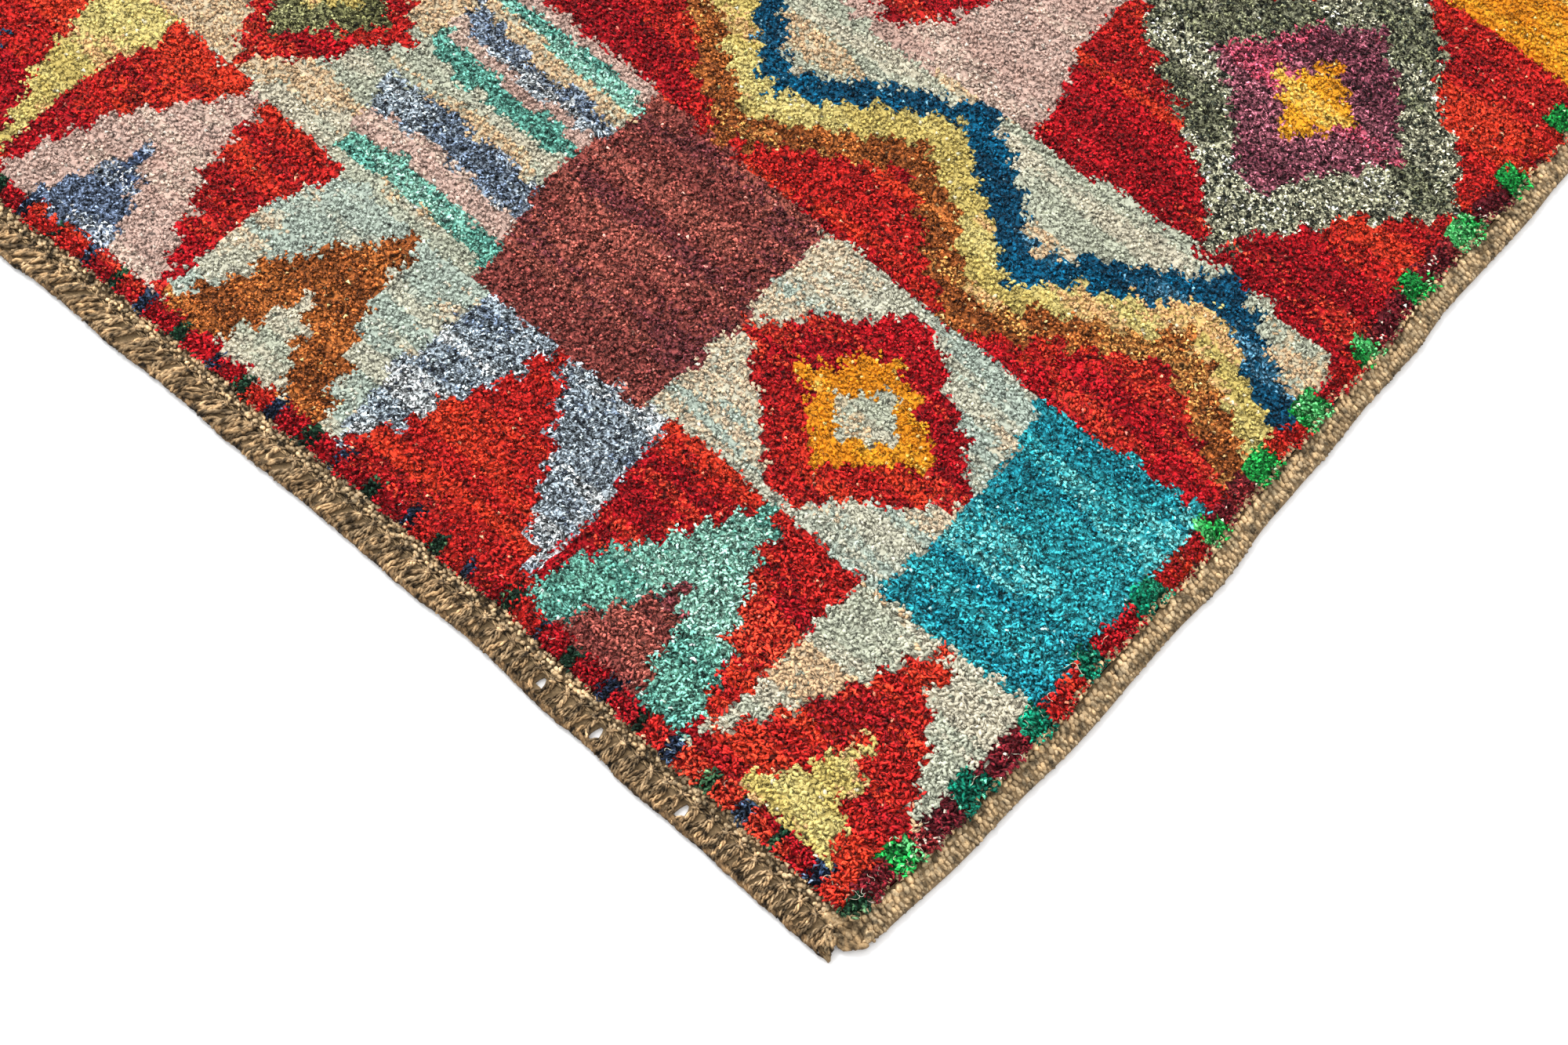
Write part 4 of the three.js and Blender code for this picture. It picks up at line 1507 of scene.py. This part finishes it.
# The warps gathered into a tie: where they start, beside it and from the pile, half thickness
WARP_PLACES = (-4.2, -1.5, 1.5, 4.2)
WARPS_FROM = 5.4
WARP_RADIUS = 0.66
# The two threads along the ties: steps from tie to tie, how far inside the pile's sides they
# end, and half thickness
TIE_STEPS = 4
TIE_INSET = 6
TIE_THREAD_RADIUS = 0.55

# The rolled edge: how far out it is, its height, how long one turn of its strands is, how far
# they are from its middle, their half thickness and how uneven that is
ROPE_OUT = 20.9
ROPE_UP = 2.6
ROPE_TURN = 14
ROPE_RADIUS = 1.1
STRAND_RADIUS = 1.15
STRAND_UNEVEN = 0.8
STRANDS = 3

# The felted ground: its two edges from the pile, thickness, foot and height, also at a gap
GROUND_INNER = 6.8
GROUND_OUTER = 20.8
GROUND_THICK = 0.8
GROUND_FOOT = 0.3
GROUND_HIGH = 3.0
GROUND_HIGH_AT_GAP = 1.6
# Its gaps are narrow at their tie and wider outwards: distances from the pile, shares
GAP_SHAPE = ((9.6, 12.4, 15.2), (0.35, 0.8, 1))
# Over how long its ends are pointed, and how far inside the outline they end
TIP_START = 11
TIP_INSET = 9.5

# Cords on the photographed corner's tip: how far inside the outline's corner along X and Y,
# and height
TIP_CORDS = (
    ((14.8, 9.3, 4.0), (14.0, 6.2, 4.6), (12.8, 3.4, 4.3), (12.2, 1.4, 3.4), (12, 0.2, 1.9)),
    ((17.6, 9.8, 4.2), (16.4, 6.6, 4.6), (15.0, 4.0, 4.4), (14.0, 1.8, 3.5), (13.4, 0.6, 1.9)),
    ((20.4, 9.8, 4.2), (19.0, 7.0, 4.6), (17.8, 4.4, 4.4), (16.6, 2.2, 3.5), (16, 1.2, 1.9)),
)


class RUG_OT_plaits(bpy.types.Operator):
    """Tie the warps, run them out as plied cords and roll them into the outer edge"""

    bl_idname = "rug.plaits"
    bl_label = "Plaited ends"

    def execute(self, context):
        p = plan()
        material = yarn_material("plied_warp_wool", SMOOTH_FIBRES)
        dark = context.scene.rug_yarns.undyed_dark
        ground = cloth_material("plait_ground", dark, 700, 0.5, 0.85)
        reach = math.floor((p.pile_x - 2) / p.tie)
        ties = np.arange(-reach, reach + 1) * p.tie
        for end in ENDS:
            parts = [
                *self.cords(p, end, ties),
                self.knots(p, end, ties),
                self.gathered_warps(p, end, ties),
                *self.tie_threads(p, end),
                self.rope(p, end),
            ]
            if end.in_photo:
                parts.append(self.tip_cords(p))
            piece = piece_from(f"plait_cords_{end.name}", merged(parts), material)
            backing = self.backing(p, end, ground)
            for item in (piece, backing):
                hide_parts(f"plait_{end.name}")
        return {"FINISHED"}

    def cord_paths(self, p, end, ties, rng):
        """Paths from each tie outwards, leaning more away from the corner, and how matted."""
        start = np.repeat(ties, CORDS_PER_TIE)
        count = len(start)
        which = np.tile(np.linspace(-1, 1, CORDS_PER_TIE), len(ties))
        matted = np.full(count, MATTED_FAR_END)
        if end.in_photo:
            matted = np.clip((p.half_wide - MATTED_FROM - start) / MATTED_OVER, 0, 1)
        lean = -(1.6 + 7.0 * matted) + spread(rng, count, 2.4 + 6 * matted)
        lean = lean + wander(2.4, start / 13, start / 41, STREAM.cord_drift)
        fan = which * CORD_SPREAD + spread(rng, count, 1.8)
        steps = np.linspace(0, len(CORD_RUN) - 1, CORD_RINGS)
        at = np.arange(len(CORD_RUN))
        run = Run(*(np.interp(steps, at, column)[None] for column in zip(*CORD_RUN)))
        sway = np.sin(np.linspace(0, 5.2, CORD_RINGS))[None] * spread(rng, (count, 1), 1)
        sway = sway * (1.6 + 3.8 * matted[:, None])
        along = start[:, None] + lean[:, None] * run.lean + fan[:, None] * run.spread + sway
        limit = p.half_wide - TIP_INSET - 4
        along = np.clip(along, -limit, limit)
        out = run.out + spread(rng, (count, 1), 0.9)
        up = run.up + spread(rng, (count, 1), 0.6) - 0.5 * (np.abs(which[:, None]) < 0.5)
        if end.in_photo:
            along = self.past_gaps(along, start[:, None], out)
            # Lower beside the gaps, so that light reaches the floor in them
            beside = [np.clip(1.7 - np.abs(along - gap.at) / 5, 0, 1) for gap in PLAIT_GAPS]
            lower = up - 1.7 * np.max(beside, axis=0) * np.clip((out - 8.5) / 2, 0, 1)
            up = np.maximum(lower, np.minimum(up, LOW_CORD))
        return at_end(end, along, out, up, p), matted

    def past_gaps(self, along, start, out):
        """Cords drawn aside where the end finish is open."""
        for gap in PLAIT_GAPS:
            free = (gap.wide / 2 + 2.2) * np.clip(1.7 - np.abs(out - 13) / 4, 0, 1)
            side = np.where(start > gap.at, 1, -1)
            near = np.abs(start - gap.at) < 9
            along = np.where(near & ((along - gap.at) * side < free), gap.at + side * free, along)
        return along

    def cords(self, p, end, ties):
        """Plied cords, bunched at each tie, and plainer ones out of view."""
        rng = draws(STREAM.cords + end.sign)
        paths, matted = self.cord_paths(p, end, ties, rng)
        count = len(paths)
        shown = seen_share(paths[:, 0], 0.001) > 0.5
        thick = CORD_RADIUS * (0.86 + 0.3 * rng.random((count, 1))) * np.ones((1, CORD_RINGS))
        # Matted cords are thicker, and the painted shade in their valleys is paler
        matted = matted * (0.4 + 0.6 * rng.random(count))
        thick = thick * (1 + 0.5 * matted[:, None])
        colours = uneven_wool(count, CORD_WOOL)
        colours[:, 3] -= 0.5 * matted
        parts = []
        if shown.any():
            net = ball_net(5, CORD_RINGS - 1)
            part = paths[shown]
            strands = plied(part, PLY_RADIUS, PLY_TURNS, 6 * rng.random(len(part)), CORD_PLIES)
            points = threads(net, strands, np.tile(thick[shown], (CORD_PLIES, 1)))
            tint = np.tile(colours[shown], (CORD_PLIES, 1))
            tint[:, :3] *= 0.6 + 0.98 * rng.random((len(tint), 1))
            fade = np.interp(np.linspace(0, 1, CORD_RINGS), *CORD_PAINTED_SHADE)
            parts.append(joined(p, net, points, tint, fade))
        net = ball_net(4, len(FEW_RINGS) - 1)
        part, thick = paths[~shown][:, FEW_RINGS], thick[~shown][:, FEW_RINGS]
        points = threads(net, part, thick * FEW_THICKER)
        parts.append(joined(p, net, points, colours[~shown]))
        return parts

    def tip_cords(self, p):
        """The cords that close the photographed corner's tip."""
        net = ball_net(5, 12)
        rows = np.array(TIP_CORDS)
        at = np.arange(rows.shape[1])
        steps = np.linspace(0, at[-1], net.rings)
        paths = np.array([[np.interp(steps, at, column) for column in row.T] for row in rows])
        paths = np.moveaxis(paths, 1, 2) * (-1, 1, 1)
        paths += (p.half_wide, NEAR_END_WAVE[0].out - p.half_long, 0)
        strands = plied(paths, 0.75, 1.6, np.array([0.4, 2.0, 3.0]), CORD_PLIES)
        count = len(strands)
        points = threads(net, strands, np.full((count, net.rings), 0.92))
        return joined(p, net, points, uneven_wool(count, TIP_WOOL))

    def knots(self, p, end, ties):
        """The small wrapped knot of each tie, as crossing wraps."""
        rng = draws(STREAM.knots + end.sign)
        which = np.tile([-1.0, 1.0, 0.0], len(ties))
        count = len(which)
        along = np.repeat(ties, 3) + spread(rng, count, 1.2)
        up = 5.2 + 0.4 * rng.random(count)
        centres = at_end(end, along, TIE_OUT + 0.2 + which * 0.6, up, p)
        direction = facing(which * 0.7 + spread(rng, count, 0.7))
        size = 1 + spread(rng, count, 0.3)
        sizes = [half * size for half in KNOT_SIZES]
        points = grains(grain_net(end), centres, direction, *sizes)
        return joined(p, grain_net(end), points, uneven_wool(count, KNOT_WOOL))

    def gathered_warps(self, p, end, ties):
        """Short warps drawn together from the beads to each tie."""
        rng = draws(STREAM.warps + end.sign)
        net = ball_net(4, 3)
        place = np.tile(WARP_PLACES, len(ties))
        tie = np.repeat(ties, len(WARP_PLACES))
        count = len(tie)
        t = np.linspace(0, 1, net.rings)[None]
        along = tie[:, None] + place[:, None] * (1 - t) + spread(rng, (count, 1), 0.7)
        out = WARPS_FROM + (TIE_OUT - WARPS_FROM) * t
        up = 4.0 + 0.7 * t + spread(rng, (count, 1), 0.3)
        paths = at_end(end, along, out, up, p)
        points = threads(net, paths, np.full((count, 1), WARP_RADIUS) * np.array([[0, 1, 1, 0]]))
        return joined(p, net, points, uneven_wool(count, WARP_WOOL))

    def tie_threads(self, p, end):
        """The two strands that run along the ties and cross between them."""
        reach = p.pile_x - TIE_INSET
        count = int(2 * reach / p.tie) * TIE_STEPS
        along = np.linspace(-reach, reach, count)
        net = ball_net(4, count - 1)
        colours = uneven_wool(1, TIE_WOOL)
        strands = []
        for turn in (0, math.pi):
            phase = 2 * math.pi * along / p.tie + turn
            out = TIE_OUT - 0.5 + 0.7 * np.sin(phase)
            paths = at_end(end, along, out, 3.7 + 0.5 * np.cos(phase), p)[None]
            points = threads(net, paths, np.full((1, count), TIE_THREAD_RADIUS))
            strands.append(joined(p, net, points, colours))
        return strands

    def rope(self, p, end):
        """The outer edge: three strands twisted round one another, uneven in thickness."""
        reach = p.half_wide - TIP_INSET - 2.5
        sides, count = (6, 590) if end.in_photo else (4, 420)
        along = np.linspace(-reach, reach, count)
        uneven = patchy(along / 9, along / 29, STREAM.rope + end.sign)
        taper = np.clip((reach - np.abs(along)) / 9, 0.45, 1)
        out = ROPE_OUT + 1.2 * (uneven - 0.5) + (1 - taper) * 1.4
        path = at_end(end, along, out, ROPE_UP + 0.3 * (uneven - 0.5), p)[None]
        turns = end.sign * 2 * reach / ROPE_TURN
        strands = plied(path, ROPE_RADIUS, turns, np.zeros(1), STRANDS)
        net = ball_net(sides, count - 1)
        seeds = [STREAM.rope_strands + index for index in range(STRANDS)]
        wide = [wander(STRAND_UNEVEN, along / 6, along / 17, seed) for seed in seeds]
        points = threads(net, strands, (STRAND_RADIUS + np.array(wide)) * taper)
        points[..., 2] = np.maximum(points[..., 2], GROUND_FOOT)
        return joined(p, net, points, uneven_wool(STRANDS, ROPE_WOOL))

    def backing(self, p, end, material):
        """The felted ground under the cords, open at the see-through gaps, pointed at its ends."""
        rng = draws(STREAM.backing + end.sign)
        reach = p.half_wide - TIP_INSET
        bm = bmesh.new()
        cells = round(2 * reach / (p.tie / 4))
        bmesh.ops.create_grid(bm, x_segments=cells, y_segments=5, size=1)
        for vert in bm.verts:
            share = (end.sign * vert.co.y + 1) / 2
            out = p.pile_y + GROUND_INNER + (GROUND_OUTER - GROUND_INNER) * share
            vert.co = (vert.co.x * reach, end.sign * out, 0)
        if end.in_photo:
            self.open_gaps(bm, p)
        bmesh.ops.recalc_face_normals(bm, faces=bm.faces)
        if sum(face.normal.z for face in bm.faces) < 0:
            bmesh.ops.reverse_faces(bm, faces=bm.faces)
        bmesh.ops.solidify(bm, geom=bm.faces[:], thickness=GROUND_THICK)
        bmesh.ops.recalc_face_normals(bm, faces=bm.faces)
        mesh = bpy.data.meshes.new(f"plait_ground_{end.name}")
        bm.to_mesh(mesh)
        bm.free()
        points = read_points(mesh)
        upper = points[:, 2] > points[:, 2].mean()
        high = np.full(len(points), GROUND_HIGH)
        out = np.abs(points[:, 1]) - p.pile_y
        tip = np.clip((np.abs(points[:, 0]) - (reach - TIP_START)) / TIP_START, 0, 1)
        if end.in_photo:
            share = np.interp(out, *GAP_SHAPE)
            for gap in PLAIT_GAPS:
                from_gap = points[:, 0] - gap.at
                high[np.hypot(from_gap, points[:, 1] + p.half_long - 10) < 7] = GROUND_HIGH_AT_GAP
                beside = np.abs(from_gap) < 3.2
                points[beside, 0] = gap.at + (from_gap * share)[beside]
        points[:, 2] = np.where(upper, high + 0.6 * rng.random(len(points)), GROUND_FOOT)
        narrowed = 22.8 + (out - 24) * 0.12
        points[:, 1] = end.sign * (p.pile_y + out + (narrowed - out) * tip)
        points[:, 2] = points[:, 2] * (1 - 0.3 * tip)
        put_points(mesh, waved(points, p))
        mesh.materials.append(material)
        return linked(f"plait_ground_{end.name}", mesh)

    def open_gaps(self, bm, p):
        """Takes the ground's cells out at the see-through gaps."""
        gone = []
        top = -p.half_long + PLAIT_GAP_INSET
        for face in bm.faces:
            middle = face.calc_center_median()
            for gap in PLAIT_GAPS:
                in_x = abs(middle.x - gap.at) < gap.wide / 2 + 1
                if in_x and top - gap.deep - 0.4 < middle.y < top + 1:
                    gone.append(face)
        bmesh.ops.delete(bm, geom=gone, context="FACES")


PIECES = (
    ("stage", "Stage"),
    ("ground_cloth", "Ground cloth"),
    ("pile_bed", "Pile bed"),
    ("pile_ends", "Pile ends"),
    ("selvedges", "Selvedges"),
    ("weft_bands", "Weft bands"),
    ("plaits", "Plaited ends"),
)
GROUPS = {"rug_sizes": RugSizes, "rug_yarns": RugYarns, "rug_studio": RugStudio}


class RUG_PT_panel(bpy.types.Panel):
    """Lists the rug's pieces and values"""

    bl_idname = "RUG_PT_panel"
    bl_label = "Rug"
    bl_space_type = "VIEW_3D"
    bl_region_type = "UI"
    bl_category = "Rug"

    def draw(self, context):
        layout = self.layout
        for key, group in GROUPS.items():
            box = layout.box()
            for name in group.__annotations__:
                box.prop(getattr(context.scene, key), name)
        for name, label in PIECES:
            layout.operator(f"rug.{name}", text=label)


CLASSES = (
    *GROUPS.values(),
    RUG_OT_stage,
    RUG_OT_ground_cloth,
    RUG_OT_pile_bed,
    RUG_OT_pile_ends,
    RUG_OT_selvedges,
    RUG_OT_weft_bands,
    RUG_OT_plaits,
    RUG_PT_panel,
)


def register():
    for item in CLASSES:
        bpy.utils.register_class(item)
    for key, group in GROUPS.items():
        setattr(bpy.types.Scene, key, bpy.props.PointerProperty(type=group))


def unregister():
    for key in GROUPS:
        delattr(bpy.types.Scene, key)
    for item in reversed(CLASSES):
        bpy.utils.unregister_class(item)


def main():
    register()
    for name, _ in PIECES:
        getattr(bpy.ops.rug, name)()
    p = plan()
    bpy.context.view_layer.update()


if __name__ == "__main__":
    main()
